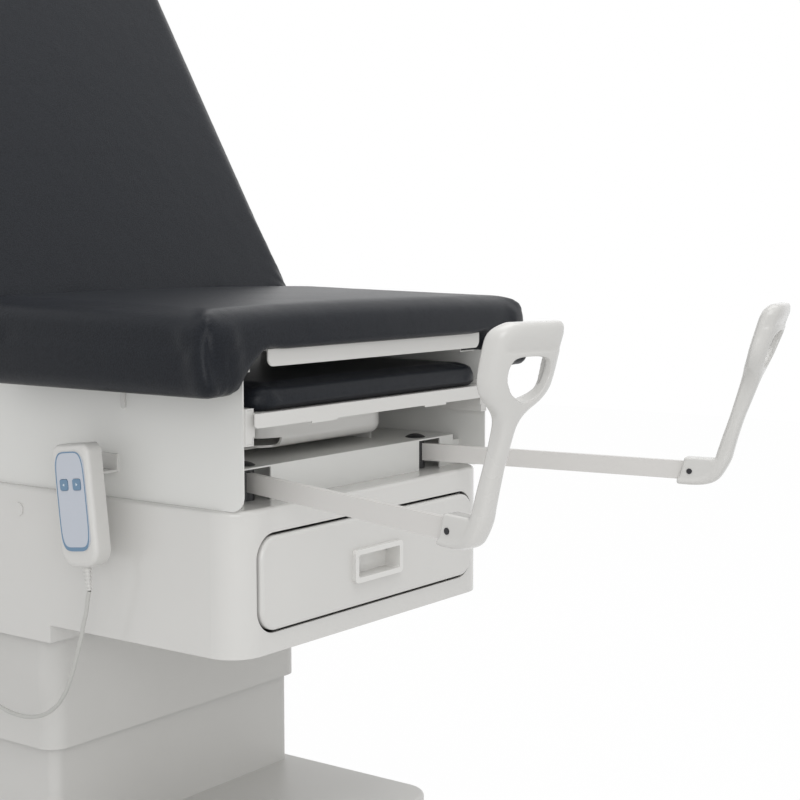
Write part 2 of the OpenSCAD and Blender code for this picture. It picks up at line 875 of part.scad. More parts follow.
module main_cover() {
    color(pale) difference() {
        union() {
            translate([0, cover_mid_y, cover_z])
                soft_block(cover_w, cover_len, cover_h, cover_r, cover_edge_r);
            translate([0, 0, skirt_z]) linear_extrude(cover_step + cut) intersection() {
                cover_plan(0);
                behind_step(0);
            }
        }
        translate([0, 0, cover_z + cover_wall])
            linear_extrude(cover_h - 2 * cover_wall) cover_plan(cover_wall);
        translate([0, 0, skirt_z - cut]) linear_extrude(cover_step + cover_wall + 2 * cut)
            intersection() {
                cover_plan(cover_wall);
                behind_step(cover_wall);
            }
        translate([0, cover_y0 - cut, drawer_z + drawer_h / 2]) rotate([-90, 0, 0])
            linear_extrude(cover_wall + 2 * cut)
                round_rect(drawer_w + 2 * drawer_gap, drawer_h + 2 * drawer_gap, drawer_r + drawer_gap);
        for (x = [-1, 1]) {
            translate([x * pivot_x, pivot_y, chassis_top - cut])
                cylinder(r = trunnion_r + 2 * gap, h = cover_wall + 2 * cut);
            translate([x * (cover_w / 2 - cover_wall - cut), plug_y, cover_top - plug_drop])
                rotate([0, x * 90, 0])
                    cylinder(d = plug_stem_d + pin_gap, h = cover_wall + 2 * cut);
        }
        translate([-cover_w / 2 - cut, gland_y, gland_z]) rotate([0, 90, 0])
            cylinder(d = gland_bore + pin_gap, h = cover_wall + 2 * cut);
    }
}

module cover_plugs() {
    color(pale) for (x = [-1, 1])
        translate([x * cover_w / 2, plug_y, cover_top - plug_drop]) rotate([0, x * 90, 0]) {
            cylinder(d = plug_d, h = plug_lip);
            translate([0, 0, -cover_wall]) cylinder(d = plug_stem_d, h = cover_wall);
        }
}

// Sheet panel with its lower front corner rounded and flanges turned in at top and bottom
module side_panel(side) {
    color(pale) {
        translate([side > 0 ? panel_in : -panel_x, 0, 0]) rotate([90, 0, 90]) linear_extrude(panel_t) {
            translate([panel_y0 + panel_r, cover_top]) square([panel_len - panel_r, panel_h]);
            translate([panel_y0, cover_top + panel_r]) square([panel_len, panel_h - panel_r]);
            translate([panel_y0 + panel_r, cover_top + panel_r]) circle(r = panel_r);
        }
        for (level = [[housing_y + housing_len, cover_top], [panel_y0 + panel_r, panel_top - panel_t]])
            translate([side > 0 ? panel_in - panel_flange : -panel_in, level[0], level[1]])
                cube([panel_flange, panel_y1 - level[0], panel_t]);
    }
}

module side_panel_left() { side_panel(-1); }
module side_panel_right() { side_panel(1); }

module cushion_clips() {
    color(white) for (x = [-1, 1])
        translate([x > 0 ? panel_x : -panel_x - clip_t, clip_y, panel_top - clip_drop])
            rotate([90, 0, 90]) linear_extrude(clip_t) {
                circle(d = clip_w);
                translate([-clip_w / 2, 0]) square([clip_w, clip_drop - clip_w]);
            }
}

// Channels on the panels' inner faces that guide the leg rest
module leg_rest_rails() {
    color(steel) for (x = [-1, 1])
        translate([x > 0 ? panel_in - rail_w : -panel_in, rail_y0, rail_z]) difference() {
            cube([rail_w, rail_y1 - rail_y0, rail_h]);
            translate([sheet, -cut, sheet])
                cube([rail_w - 2 * sheet, rail_y1 - rail_y0 + 2 * cut, rail_h - 2 * sheet]);
            translate([x > 0 ? -cut : rail_w - sheet - cut, -cut, rail_lip])
                cube([sheet + 2 * cut, rail_y1 - rail_y0 + 2 * cut, rail_slot]);
        }
}

// Bent sheet over the arm pivots: a top, a front with a slot at each end, and two ends
module stirrup_housing() {
    color(pale) difference() {
        translate([-housing_half, housing_y, cover_top]) cube([2 * housing_half, housing_len, housing_h]);
        translate([-housing_half + sheet, housing_y + sheet, cover_top - cut])
            cube([2 * (housing_half - sheet), housing_len, housing_h - sheet + cut]);
        for (x = [-1, 1])
            translate([x > 0 ? housing_mid : -housing_slot, housing_y - cut, cover_top - cut])
                cube([housing_slot - housing_mid, sheet + 2 * cut, housing_h - sheet + cut]);
        for (x = [-1, 1])
            translate([x * pivot_x, pivot_y, housing_top - sheet - cut])
                cylinder(r = trunnion_r + gap, h = sheet + 2 * cut);
    }
    color(pale) for (x = [-1, 1])
        translate([x > 0 ? housing_half - sheet : -panel_in, housing_y, cover_top])
            cube([panel_in - housing_half + sheet, sheet, tab_top]);
}

// Upright plate across the front, with its two lower corners rounded
module front_flange(w, h, r) {
    translate([0, sheet, 0]) rotate([90, 0, 0]) linear_extrude(sheet) {
        translate([-w / 2, r]) square([w, h - r]);
        translate([-w / 2 + r, 0]) square([w - 2 * r, h]);
        for (x = [-1, 1]) translate([x * (w / 2 - r), r]) circle(r = r);
    }
}

// Tray that carries the seat: its sides stand on the panels' upper flanges
module seat_plate() {
    color(white) {
        translate([0, front_y, seat_plate_z]) front_flange(2 * seat_plate_half, seat_plate_h, corner_r);
        translate([-seat_plate_half, front_y, board_z - sheet])
            cube([2 * seat_plate_half, seat_plate_y1 - front_y, sheet]);
        for (x = [-1, 1])
            translate([x > 0 ? seat_plate_half - sheet : -seat_plate_half,
                       panel_y0 + panel_r, panel_top])
                cube([sheet, seat_plate_y1 - panel_y0 - panel_r, board_z - panel_top]);
    }
}

module seat_board() {
    color(black) translate([-board_half, front_y + board_inset, board_z])
        cube([2 * board_half, seat_plate_y1 - front_y - 2 * board_inset, board_t]);
}

// Underside of the seat cushion from its board's edge out to the skirt: places across and heights
// above the skirt's lower edge, as shares
arch_shares = [[0, 1], [0.17, 0.96], [0.36, 0.85], [0.58, 0.64], [0.75, 0.45], [0.95, 0.14]];

function seat_section(y, inset, swell, fall) = let (
    low = seat_top - skirt_drop + inset / 2,
    under = seat_top - seat_pad_t,
    half = seat_half - inset,
    top = seat_top - fall - inset,
    r = max(seat_edge_r - inset / 3, inset / 3),
    foot = skirt_w / 6,
    right = concat(
        [for (p = arch_shares)
            [board_half + (seat_half - skirt_w - board_half) * p[0], low + (under - low) * p[1]]],
        [[seat_half - skirt_w, low], [half - foot, low], [half, low + foot]],
        [[half + swell, (low + top - r) / 2]],
        [for (a = [0 : 22.5 : 90]) [half - r + r * cos(a), top - r + r * sin(a)]],
        [for (s = [0.8 : -0.2 : 0.1]) [(half - r) * s, top + seat_crown * (1 - s * s)]]),
    n = len(right))
    concat(
        [[0, y, under]],
        [for (p = right) [p[0], y, p[1]]],
        [[0, y, top + seat_crown]],
        [for (i = [n - 1 : -1 : 0]) [-right[i][0], y, right[i][1]]]);

module seat_cushion() {
    l = seat_y1 - seat_y0;
    places = concat(
        [for (s = end_shares) s * seat_edge_r],
        [for (s = [0.2 : 0.2 : 0.8]) seat_edge_r + s * (l - 2 * seat_edge_r)],
        [for (i = [len(end_shares) - 1 : -1 : 0]) l - end_shares[i] * seat_edge_r]);
    color(black) skin([for (y = places)
        seat_section(seat_y0 + y, draw_in(min(y, l - y), seat_edge_r) * 0.9,
                     seat_crown / 2 * (1 - pow(2 * y / l - 1, 2)), seat_fall * (1 - y / l))]);
}

module deck_beam() {
    color(steel) translate([0, beam_y + beam_d / 2, beam_z]) slab(2 * panel_in, beam_d, beam_h);
}

// Ear beside the middle that holds one hinge pin, standing on the deck beam
module hinge_ear(side) {
    translate([side > 0 ? ear_x : -ear_x - ear_t, 0, 0]) rotate([90, 0, 90]) linear_extrude(ear_t)
        difference() {
            union() {
                translate([-hinge_y, hinge_z]) circle(r = ear_r);
                translate([-hinge_y - ear_r + sheet, beam_z + beam_h])
                    square([2 * (ear_r - sheet), hinge_z - beam_z - beam_h]);
            }
            translate([-hinge_y, hinge_z]) circle(r = pin_r + gap);
        }
}

module backrest_brackets() {
    color(steel) {
        hinge_ear(-1);
        hinge_ear(1);
        for (x = [-1, 1])
            translate([x > 0 ? spring_eye_t / 2 + gap : -spring_eye_t / 2 - gap - fork_t, 0, 0])
                rotate([90, 0, 90]) linear_extrude(fork_t) {
                    translate([spring_foot_y, spring_foot_z]) circle(r = spring_eye_r);
                    translate([spring_foot_y - spring_eye_r, cover_top])
                        square([2 * spring_eye_r, spring_foot_z - cover_top]);
                }
        translate([-spring_eye_t / 2 - gap, spring_foot_y, spring_foot_z]) rotate([0, 90, 0])
            cylinder(d = spring_pin_d, h = spring_eye_t + 2 * gap);
    }
}

// Drawer runners hang from the long chassis tubes
runner_x = tray_w / 2 + runner_out;

module drawer_runners() {
    color(steel) for (x = [-1, 1])
        translate([x > 0 ? runner_x : -runner_x - sheet, tray_y + tray_wall, 0]) {
            translate([0, 0, runner_z - runner_h]) cube([sheet, tray_len, chassis_z - runner_z + runner_h]);
            for (z = [runner_z - sheet - gap, runner_z + runner_h + gap])
                translate([x > 0 ? sheet - runner_out + gap : 0, 0, z])
                    cube([runner_out - gap, tray_len, sheet]);
        }
}

module drawer_tray() {
    color(white) {
        difference() {
            translate([-tray_w / 2, tray_y, tray_z]) cube([tray_w, tray_len, tray_h]);
            translate([-tray_w / 2 + tray_wall, tray_y + tray_wall, tray_z + tray_wall])
                cube([tray_w - 2 * tray_wall, tray_len - 2 * tray_wall, tray_h]);
            translate([0, tray_y + tray_wall + cut, handle_z]) rotate([90, 0, 0])
                linear_extrude(tray_wall + 2 * cut) cup_outline(pin_gap);
        }
        for (x = [-1, 1])
            translate([x > 0 ? tray_w / 2 : -tray_w / 2 - runner_out + sheet + gap, tray_y, runner_z])
                cube([runner_out - sheet - gap, tray_len, runner_h]);
    }
}

// Outline of the handle's pocket, grown by s
module cup_outline(s) {
    round_rect(handle_w - 2 * handle_wall + 2 * s, handle_h - 2 * handle_wall + 2 * s,
               handle_r - handle_wall + s);
}

// Opening for the fingers
module grip_outline() {
    round_rect(handle_w - 2 * handle_rim, handle_h - 2 * handle_rim, handle_r / 2);
}

// Moulded front with a pillowed edge and a hole for the handle's pocket
module drawer_front() {
    color(pale) difference() {
        translate([0, tray_y, drawer_z + drawer_h / 2]) rotate([90, 0, 0])
            soft_block(drawer_w, drawer_h, drawer_t, drawer_r, drawer_pillow);
        translate([0, tray_y + cut, handle_z]) rotate([90, 0, 0])
            linear_extrude(drawer_t + 2 * cut) cup_outline(pin_gap);
    }
}

// Cup handle: a raised rim round a pocket for the fingers
module drawer_handle() {
    color(white) translate([0, face_y, handle_z]) rotate([90, 0, 0]) difference() {
        union() {
            linear_extrude(handle_proud) round_rect(handle_w, handle_h, handle_r);
            translate([0, 0, -handle_depth]) linear_extrude(handle_depth + cut) cup_outline(0);
        }
        translate([0, 0, handle_wall - handle_depth])
            linear_extrude(handle_depth + handle_proud) grip_outline();
    }
}

// Leg rest plate: a flange with two tabs, a sheet, and a runner captive in each rail
module leg_rest_plate() {
    slide_y = rail_y0 + gap;
    slide_len = leg_y1 - 4 * sheet - slide_y;
    neck_z = rail_z + rail_lip + gap;
    neck_h = rail_slot - 2 * gap;
    head_t = rail_w - 2 * sheet - 2 * gap;
    color(white) {
        translate([0, front_y, leg_z]) front_flange(2 * leg_half, leg_plate_h, corner_r / 2);
        for (x = [-1, 1])
            translate([x * tab_x - tab_w / 2, front_y, leg_z - tab_h]) cube([tab_w, sheet, 2 * tab_h]);
        translate([-leg_slide_x, front_y, leg_top - sheet])
            cube([2 * leg_slide_x, leg_y1 - front_y, sheet]);
        for (x = [-1, 1]) {
            translate([x > 0 ? leg_slide_x - sheet : -leg_slide_x, slide_y, neck_z])
                cube([sheet, slide_len, leg_top - neck_z]);
            translate([x > 0 ? leg_slide_x - sheet : -leg_slide_x - 3 * sheet, slide_y, neck_z])
                cube([4 * sheet, slide_len, neck_h]);
            translate([x > 0 ? panel_in - rail_w + sheet + gap : -panel_in + sheet + gap,
                       slide_y, rail_z + sheet + gap])
                cube([head_t, slide_len, rail_h - 2 * sheet - 2 * gap]);
        }
    }
}

module leg_rest_cushion() {
    color(black) translate([0, front_y + sheet, leg_top])
        pad(2 * leg_pad_half, leg_pad_len, leg_pad_t, leg_plan_r, leg_edge_r, leg_low_r,
            leg_plan_r, leg_edge_r, leg_crown);
}

// Shallow open basin with a flat rim and a rounded floor
module basin() {
    inner_w = basin_w - 2 * basin_wall;
    inner_l = basin_len - 2 * basin_wall;
    color(white) translate([0, basin_y0 + basin_len / 2, 0]) difference() {
        union() {
            translate([0, 0, basin_top]) mirror([0, 0, 1])
                soft_block(basin_w, basin_len, basin_h, basin_r, basin_floor_r);
            translate([0, 0, basin_top - basin_rim_t]) linear_extrude(basin_rim_t)
                round_rect(basin_w + 2 * basin_rim, basin_len + 2 * basin_rim, basin_r + basin_rim);
        }
        translate([0, 0, basin_top + cut]) mirror([0, 0, 1])
            soft_block(inner_w, inner_l, basin_h - basin_wall + cut, basin_r - basin_wall,
                       basin_floor_r - basin_wall);
    }
}

// Ledges that the basin's rim slides on
module basin_rails() {
    rail_y = basin_y0 + basin_rail_back;
    rail_l = basin_len - basin_rail_back;
    color(steel) for (x = [-1, 1]) {
        translate([x > 0 ? basin_rail_x : -basin_rail_x - sheet, rail_y, housing_top])
            cube([sheet, rail_l, basin_rail_top - housing_top]);
        translate([x > 0 ? basin_rail_x - ledge_w : -basin_rail_x, rail_y, basin_z - gap - ledge_t])
            cube([ledge_w, rail_l, ledge_t]);
    }
}

// Places its children on an arm's pivot, turned along the arm's splay
module at_pivot(side) {
    translate([side * pivot_x, pivot_y, arm_z]) rotate([0, 0, side * arm_splay]) children();
}

// Places its children on an arm's pivot, with the arm running out along -Y
module on_arm(side) {
    at_pivot(side) rotate([arm_droop, 0, 0]) children();
}

// Upright yoke with a window that the arm bar slides through
module swivel_yoke(side) {
    low = cover_top + gap;
    high = housing_top - sheet - gap;
    color(black) difference() {
        translate([side * pivot_x, pivot_y, 0]) {
            translate([0, 0, low]) cylinder(r = yoke_r, h = high - low);
            translate([0, 0, chassis_z]) cylinder(r = trunnion_r, h = low - chassis_z + cut);
            translate([0, 0, high - cut]) cylinder(r = trunnion_r, h = housing_top + gap - high + cut);
        }
        on_arm(side) cube([arm_t + 2 * gap, 2 * yoke_d, arm_h + 2 * gap], center = true);
    }
}

module swivel_yoke_left() { swivel_yoke(-1); }
module swivel_yoke_right() { swivel_yoke(1); }

// Domed cap on top of a yoke
module pivot_cap(side) {
    dome_r = (pow(cap_d / 2, 2) + pow(cap_h, 2)) / (2 * cap_h);
    color(black) translate([side * pivot_x, pivot_y, housing_top + gap]) intersection() {
        translate([0, 0, cap_h - dome_r]) sphere(r = dome_r, $fn = 96);
        cylinder(r = cap_d / 2 - cut / 2, h = cap_h);
    }
}

module pivot_cap_left() { pivot_cap(-1); }
module pivot_cap_right() { pivot_cap(1); }

// Flat bar from its tail behind the pivot to its end inside the heel rest
module stirrup_arm(side) {
    color(pale) on_arm(side) difference() {
        translate([-arm_t / 2, -arm_reach - bracket_back, -arm_h / 2])
            cube([arm_t, arm_reach + bracket_back + arm_tail, arm_h]);
        translate([0, -arm_reach, 0]) rotate([0, 90, 0])
            cylinder(r = heel_screw_d / 2 + pin_gap, h = arm_t + 2 * cut, center = true);
    }
}

module stirrup_arm_left() { stirrup_arm(-1); }
module stirrup_arm_right() { stirrup_arm(1); }

// Heel rest, in a frame at its screw: -Y runs outward along the arm and X points to the middle.
// Roundness of the sections: 1 is an ellipse, nearer 0 is squarer
heel_squareness = 0.62;
function soft_step(v) = sign(v) * pow(abs(v), heel_squareness);
function heel_loop(c, a, v, b, flare) = [for (i = [0 : 22.5 : 359])
    c + [soft_step(cos(i)) * (a - flare * soft_step(sin(i))), 0, 0] + soft_step(sin(i)) * b * v];

// Root below the clamp, as shares of the paddle's depth but for the climb:
// [outward, up, climb in degrees, half thickness, half width]
heel_root_shares = [
    [-0.515, -0.436, 0, 0.139, 0.379], [0.182, -0.433, 0, 0.142, 0.379],
    [0.667, -0.318, 32, 0.2, 0.388], [0.985, -0.085, 55, 0.261, 0.394]];

// Stem and paddle: [height, outward place, half depth, half width, place across, flare], as shares
heel_shares = [
    [0.066, 0.184, 0.327, 0.129, 0, 0], [0.131, 0.204, 0.327, 0.119, 0, 0],
    [0.22, 0.227, 0.312, 0.116, 0, 0], [0.329, 0.26, 0.303, 0.107, 0, 0],
    [0.416, 0.288, 0.33, 0.101, 0, 0], [0.505, 0.315, 0.358, 0.105, 0, 0],
    [0.535, 0.326, 0.367, 0.12, 0.003, 0], [0.57, 0.337, 0.376, 0.165, 0.006, 0],
    [0.601, 0.348, 0.391, 0.242, 0.016, 0.318], [0.632, 0.36, 0.4, 0.342, 0.033, 0.636],
    [0.666, 0.372, 0.412, 0.425, 0.031, 1], [0.7, 0.383, 0.43, 0.469, 0.023, 1],
    [0.742, 0.395, 0.455, 0.495, 0.01, 1], [0.825, 0.42, 0.491, 0.5, 0, 1],
    [0.908, 0.445, 0.5, 0.5, 0, 1], [0.95, 0.459, 0.464, 0.491, 0.006, 1],
    [0.979, 0.474, 0.382, 0.448, 0.025, 1], [1, 0.486, 0.258, 0.371, 0.046, 1]];

// Hollow in the back of the paddle, written the same way
heel_hollow_shares = [
    [0.649, 0.298, 0.121, 0.309, 0.035, 1], [0.683, 0.329, 0.273, 0.361, 0.027, 1],
    [0.725, 0.351, 0.424, 0.407, 0.014, 1], [0.825, 0.383, 0.464, 0.423, 0, 1],
    [0.908, 0.409, 0.458, 0.423, 0, 1], [0.955, 0.423, 0.379, 0.392, 0.01, 1]];

// Outline of the paddle's opening, as shares of the width and height
heel_hole_shares = [
    [-0.228, 0.729], [-0.262, 0.778], [-0.249, 0.815], [-0.202, 0.838], [-0.063, 0.846], [0.124, 0.844],
    [0.25, 0.834], [0.317, 0.812], [0.35, 0.777], [0.337, 0.738], [0.307, 0.696], [0.243, 0.658],
    [0.131, 0.636], [0.033, 0.638], [-0.076, 0.662], [-0.172, 0.693]];

function heel_levels(shares) = [for (p = shares)
    heel_loop([p[4] * heel_w, -p[1] * heel_rise, p[0] * heel_rise], p[3] * heel_w, [0, -1, 0],
              p[2] * heel_t, p[5] * heel_flare)];

function heel_sections() = concat(
    [for (p = heel_root_shares)
        heel_loop([0, -p[0] * heel_t, p[1] * heel_t], p[4] * heel_t, [0, -sin(p[2]), -cos(p[2])],
                  p[3] * heel_t, 0)],
    heel_levels(heel_shares));

module heel_shape() {
    difference() {
        union() {
            skin(heel_sections());
            translate([-bracket_half, 0, 0]) rotate([90, 0, 90]) linear_extrude(2 * bracket_half)
                polygon([[bracket_tail, -bracket_low], [bracket_tail - bracket_slant, bracket_top],
                         [-bracket_ahead, bracket_top], [-bracket_ahead, -bracket_low / 4],
                         [-3 * bracket_ahead / 5, -3 * bracket_low / 4], [0, -bracket_low]]);
        }
        skin(heel_levels(heel_hollow_shares));
        rotate([90, 0, 0]) linear_extrude(heel_rise)
            polygon([for (p = heel_hole_shares) [p[0] * heel_w, p[1] * heel_rise]]);
        translate([-arm_t / 2 - pin_gap, -bracket_back - pin_gap, -arm_h / 2 - pin_gap])
            cube([arm_t + 2 * pin_gap, 3 * bracket_back, arm_h + 2 * pin_gap]);
        rotate([0, 90, 0])
            cylinder(r = heel_screw_d / 2 + pin_gap, h = 2 * bracket_half + 2 * cut, center = true);
    }
}

module heel_rest(side) {
    color(white) on_arm(side) translate([0, -arm_reach, 0])
        if (side > 0) mirror([1, 0, 0]) heel_shape();
        else heel_shape();
}

module heel_rest_left() { heel_rest(-1); }
module heel_rest_right() { heel_rest(1); }

module heel_screw(side) {
    color(steel) on_arm(side) translate([-bracket_half, -arm_reach, 0]) rotate([0, 90, 0]) {
        cylinder(d = heel_screw_d, h = 2 * bracket_half);
        translate([0, 0, -screw_head_h]) cylinder(d = screw_head_d, h = screw_head_h);
        translate([0, 0, 2 * bracket_half]) cylinder(d = screw_head_d, h = screw_head_h);
    }
}

module heel_screw_left() { heel_screw(-1); }
module heel_screw_right() { heel_screw(1); }

// Turns its children, modelled with the backrest flat, up to the posed angle
module raised() {
    translate([0, -hinge_y, hinge_z]) rotate([back_angle, 0, 0]) translate([0, hinge_y, -hinge_z])
        children();
}

// Tray under the backrest with two hinge lugs and a fork for the gas spring
module backrest_plate() {
    lug_reach = 52;
    color(white) raised() {
        difference() {
            translate([-back_plate_half, back_plate_y0, back_plate_top - back_plate_h])
                cube([2 * back_plate_half, back_plate_len, back_plate_h]);
            translate([-back_plate_half + sheet, back_plate_y0 + sheet,
                       back_plate_top - back_plate_h - cut])
                cube([2 * (back_plate_half - sheet), back_plate_len - 2 * sheet,
                      back_plate_h - sheet + cut]);
        }
        for (x = [-1, 1])
            translate([x > 0 ? lug_x : -lug_x - lug_t, -hinge_y, hinge_z]) rotate([90, 0, 90])
                linear_extrude(lug_t) difference() {
                    union() {
                        circle(r = ear_r);
                        rotate(-45) translate([0, sheet - ear_r])
                            square([lug_reach, 2 * (ear_r - sheet)]);
                    }
                    circle(r = pin_r + pin_gap);
                }
        translate([0, spring_lug_y - hinge_y, hinge_z - spring_lug_drop]) {
            for (x = [-1, 1])
                translate([x > 0 ? spring_eye_t / 2 + gap : -spring_eye_t / 2 - gap - fork_t, 0, 0])
                    rotate([90, 0, 90]) linear_extrude(fork_t) {
                        circle(r = spring_eye_r);
                        translate([-spring_eye_r, 0])
                            square([2 * spring_eye_r, spring_lug_drop - back_pad_t / 2 - sheet / 2]);
                    }
            translate([-spring_eye_t / 2 - gap - cut, 0, 0]) rotate([0, 90, 0])
                cylinder(d = spring_pin_d, h = spring_eye_t + 2 * gap + 2 * cut);
        }
    }
}

// Shape kept clear of the cushion round an ear and a lug, in the hinge's own frame
module hinge_pocket() {
    translate([pocket_x, 0, 0]) rotate([90, 0, 90]) linear_extrude(pocket_w) {
        circle(r = ear_r + soft_gap);
        for (a = [-45, -90, -125, -90 - back_angle - 10])
            rotate(a) translate([0, -ear_r]) square([2 * back_pad_t, 2 * ear_r]);
    }
}

module backrest_cushion() {
    color(black) raised() difference() {
        translate([0, -hinge_y - back_pad_t / 2, back_plate_top])
            pad(2 * back_half, back_len, back_pad_t, back_r, back_edge_r, back_edge_r, back_start_r,
                back_pad_t / 2, back_crown);
        translate([0, -hinge_y, hinge_z]) {
            hinge_pocket();
            mirror([1, 0, 0]) hinge_pocket();
        }
    }
}

module hinge_pins() {
    color(steel) for (x = [-1, 1])
        translate([x > 0 ? ear_x : -lug_x - lug_t, -hinge_y, hinge_z]) rotate([0, 90, 0])
            cylinder(r = pin_r, h = lug_x + lug_t - ear_x);
}

// Places its children on the gas spring's upper pin, with the spring running down along -Z
module on_spring() {
    a = back_angle - asin(spring_lug_drop / spring_r);
    translate([0, -hinge_y + spring_r * cos(a), hinge_z + spring_r * sin(a)])
        rotate([a - spring_half_a, 0, 0]) children();
}

module gas_spring_tube() {
    color(black) on_spring() difference() {
        union() {
            rotate([0, 90, 0]) cylinder(r = spring_eye_r, h = spring_eye_t, center = true);
            translate([0, 0, -spring_neck]) cylinder(r = spring_eye_t / 2, h = spring_neck);
            translate([0, 0, -spring_tube_end])
                cylinder(d = spring_tube_d, h = spring_tube_end - spring_neck);
        }
        rotate([0, 90, 0])
            cylinder(r = spring_pin_d / 2 + gap, h = spring_eye_t + 2 * cut, center = true);
        translate([0, 0, -spring_tube_end + spring_cap])
            cylinder(d = spring_tube_d - 2 * spring_wall,
                     h = spring_tube_end - spring_cap - spring_neck - spring_wall);
        translate([0, 0, -spring_tube_end - cut])
            cylinder(r = spring_rod_d / 2 + gap, h = spring_cap + 2 * cut);
    }
}

// Rod with a slotted eye round the lower pin
module gas_spring_rod() {
    slot_r = spring_pin_d / 2 + gap;
    eye_r = slot_r + spring_eye_wall;
    color(steel) on_spring() translate([0, 0, -spring_len]) {
        rotate([90, 0, 90]) linear_extrude(spring_eye_t, center = true) difference() {
            union() {
                square([2 * eye_r, 2 * spring_lost], center = true);
                for (z = [-1, 1]) translate([0, z * spring_lost]) circle(r = eye_r);
            }
            square([2 * slot_r, 2 * spring_lost], center = true);
            for (z = [-1, 1]) translate([0, z * spring_lost]) circle(r = slot_r);
        }
        translate([0, 0, spring_lost + slot_r + spring_eye_wall / 2])
            cylinder(d = spring_rod_d,
                     h = spring_rod_len - spring_lost - slot_r - spring_eye_wall / 2);
    }
}

// Hand control: its children are placed on it, with the face towards -X
module in_hand() {
    translate([-handset_x, handset_y, handset_z]) rotate([-handset_tilt, 0, 0]) children();
}

// Outline of the hand control's face, square to it
module face_plan(w, l, r) {
    translate([-handset_t / 2, 0, 0]) rotate([0, -90, 0]) round_rect(l, w, r);
}

module handset_body() {
    well = key_t - key_proud + key_travel + gap;
    color(white) in_hand() difference() {
        translate([handset_t / 2, 0, 0]) rotate([0, -90, 0]) {
            soft_block(handset_len, handset_w, handset_t, handset_r, handset_edge);
            translate([handset_len / 4, 0, 0])
                soft_block(handset_len / 2, handset_w, handset_t, handset_r / 2, handset_edge);
        }
        for (y = [-1, 1])
            translate([-handset_t / 2 - cut, y * key_x, key_rise]) rotate([0, 90, 0])
                linear_extrude(well - face_t + cut)
                    round_rect(key_w + 2 * key_gap, key_w + 2 * key_gap, key_r + key_gap);
    }
}

module handset_face() {
    color(white) in_hand() translate([-handset_t / 2, 0, face_rise]) rotate([0, -90, 0])
        linear_extrude(face_t) difference() {
            round_rect(face_len, face_w, face_r);
            for (y = [-1, 1])
                translate([key_rise - face_rise, y * key_x])
                    round_rect(key_w + 2 * key_gap, key_w + 2 * key_gap, key_r + key_gap);
        }
}

module key(y) {
    color(white) in_hand() translate([-handset_t / 2 - face_t - key_proud, y, key_rise])
        rotate([0, 90, 0]) linear_extrude(key_t) round_rect(key_w, key_w, key_r);
}

module key_up() { key(-key_x); }
module key_down() { key(key_x); }

// Clip between the side panel and the back of the hand control
module handset_hook() {
    reach = handset_x - handset_t / 2 - panel_x;
    color(white) translate([-panel_x - reach, handset_y - hook_w / 2, hook_z]) {
        cube([reach, hook_w, hook_t]);
        cube([hook_t, hook_w, hook_h]);
        translate([reach - hook_t, 0, 0]) cube([hook_t, hook_w, hook_h]);
    }
}

// Ribbed sleeve round the cord where it leaves the hand control
module handset_strain_relief() {
    ribs = 6;
    pitch = relief_len / ribs;
    color(white) in_hand() translate([0, 0, -handset_len / 2 - relief_len])
        for (i = [0 : ribs - 1]) let (r = relief_r1 + (relief_r0 - relief_r1) * i / (ribs - 1)) {
            translate([0, 0, i * pitch]) cylinder(r = r, h = pitch / 2);
            translate([0, 0, i * pitch]) cylinder(r = r - relief_groove, h = pitch);
        }
}

// Elbow through the cover's wall that takes in the cord
module cable_gland() {
    stub_r = gland_bore / 2 + sheet;
    color(white) translate([-cover_w / 2, gland_y, gland_z]) {
        rotate([0, -90, 0]) {
            cylinder(r = gland_r, h = sheet);
            cylinder(r = stub_r, h = gland_out);
            translate([0, 0, -cover_wall]) cylinder(d = gland_bore, h = cover_wall + cut);
        }
        translate([-gland_out, 0, 0]) {
            sphere(r = stub_r);
            translate([0, 0, -gland_drop]) cylinder(r = stub_r, h = gland_drop);
        }
    }
}

// Cord: a smooth curve through the route's points, with one ring between each two
function route(i) = cord_points[min(max(i, 0), len(cord_points) - 1)];
function halfway(i) = (9 * (route(i) + route(i + 1)) - route(i - 1) - route(i + 2)) / 16;
cord_path = [for (i = [0 : 2 * len(cord_points) - 2]) i % 2 == 0 ? route(i / 2) : halfway((i - 1) / 2)];
function heading(i) = let (
    v = cord_path[min(i + 1, len(cord_path) - 1)] - cord_path[max(i - 1, 0)]) v / norm(v);
cord_sides = 8;

module handset_cord() {
    color(white) skin([for (i = [0 : len(cord_path) - 1]) let (
        d = heading(i),
        u = cross([1, 0, 0], d) / norm(cross([1, 0, 0], d)),
        v = cross(u, d))
        [for (k = [0 : cord_sides - 1]) let (a = 360 * k / cord_sides)
            cord_path[i] + cord_d / 2 * (cos(a) * u + sin(a) * v)]]);
}

base_plate();
levelling_feet();
base_cover();
base_edge_strip();
lower_shroud();
column_outer();
lift_motor();
spindle_lower();
control_box();
mains_inlet();
column_middle();
upper_shroud();
spindle_middle();
column_inner();
spindle_upper();
chassis_side_tubes();
chassis_cross_beams();
main_cover();
side_panel_left();
side_panel_right();
leg_rest_rails();
stirrup_housing();
seat_plate();
seat_board();
seat_cushion();
deck_beam();
backrest_brackets();
drawer_runners();
basin_rails();
cover_plugs();
cushion_clips();
handset_hook();
handset_body();
handset_face();
handset_strain_relief();
cable_gland();
handset_cord();
key_up();
key_down();
drawer_tray();
drawer_front();
drawer_handle();
leg_rest_plate();
leg_rest_cushion();
basin();
swivel_yoke_left();
swivel_yoke_right();
pivot_cap_left();
pivot_cap_right();
stirrup_arm_left();
stirrup_arm_right();
heel_rest_left();
heel_rest_right();
heel_screw_left();
heel_screw_right();
backrest_plate();
backrest_cushion();
hinge_pins();
gas_spring_tube();
gas_spring_rod();
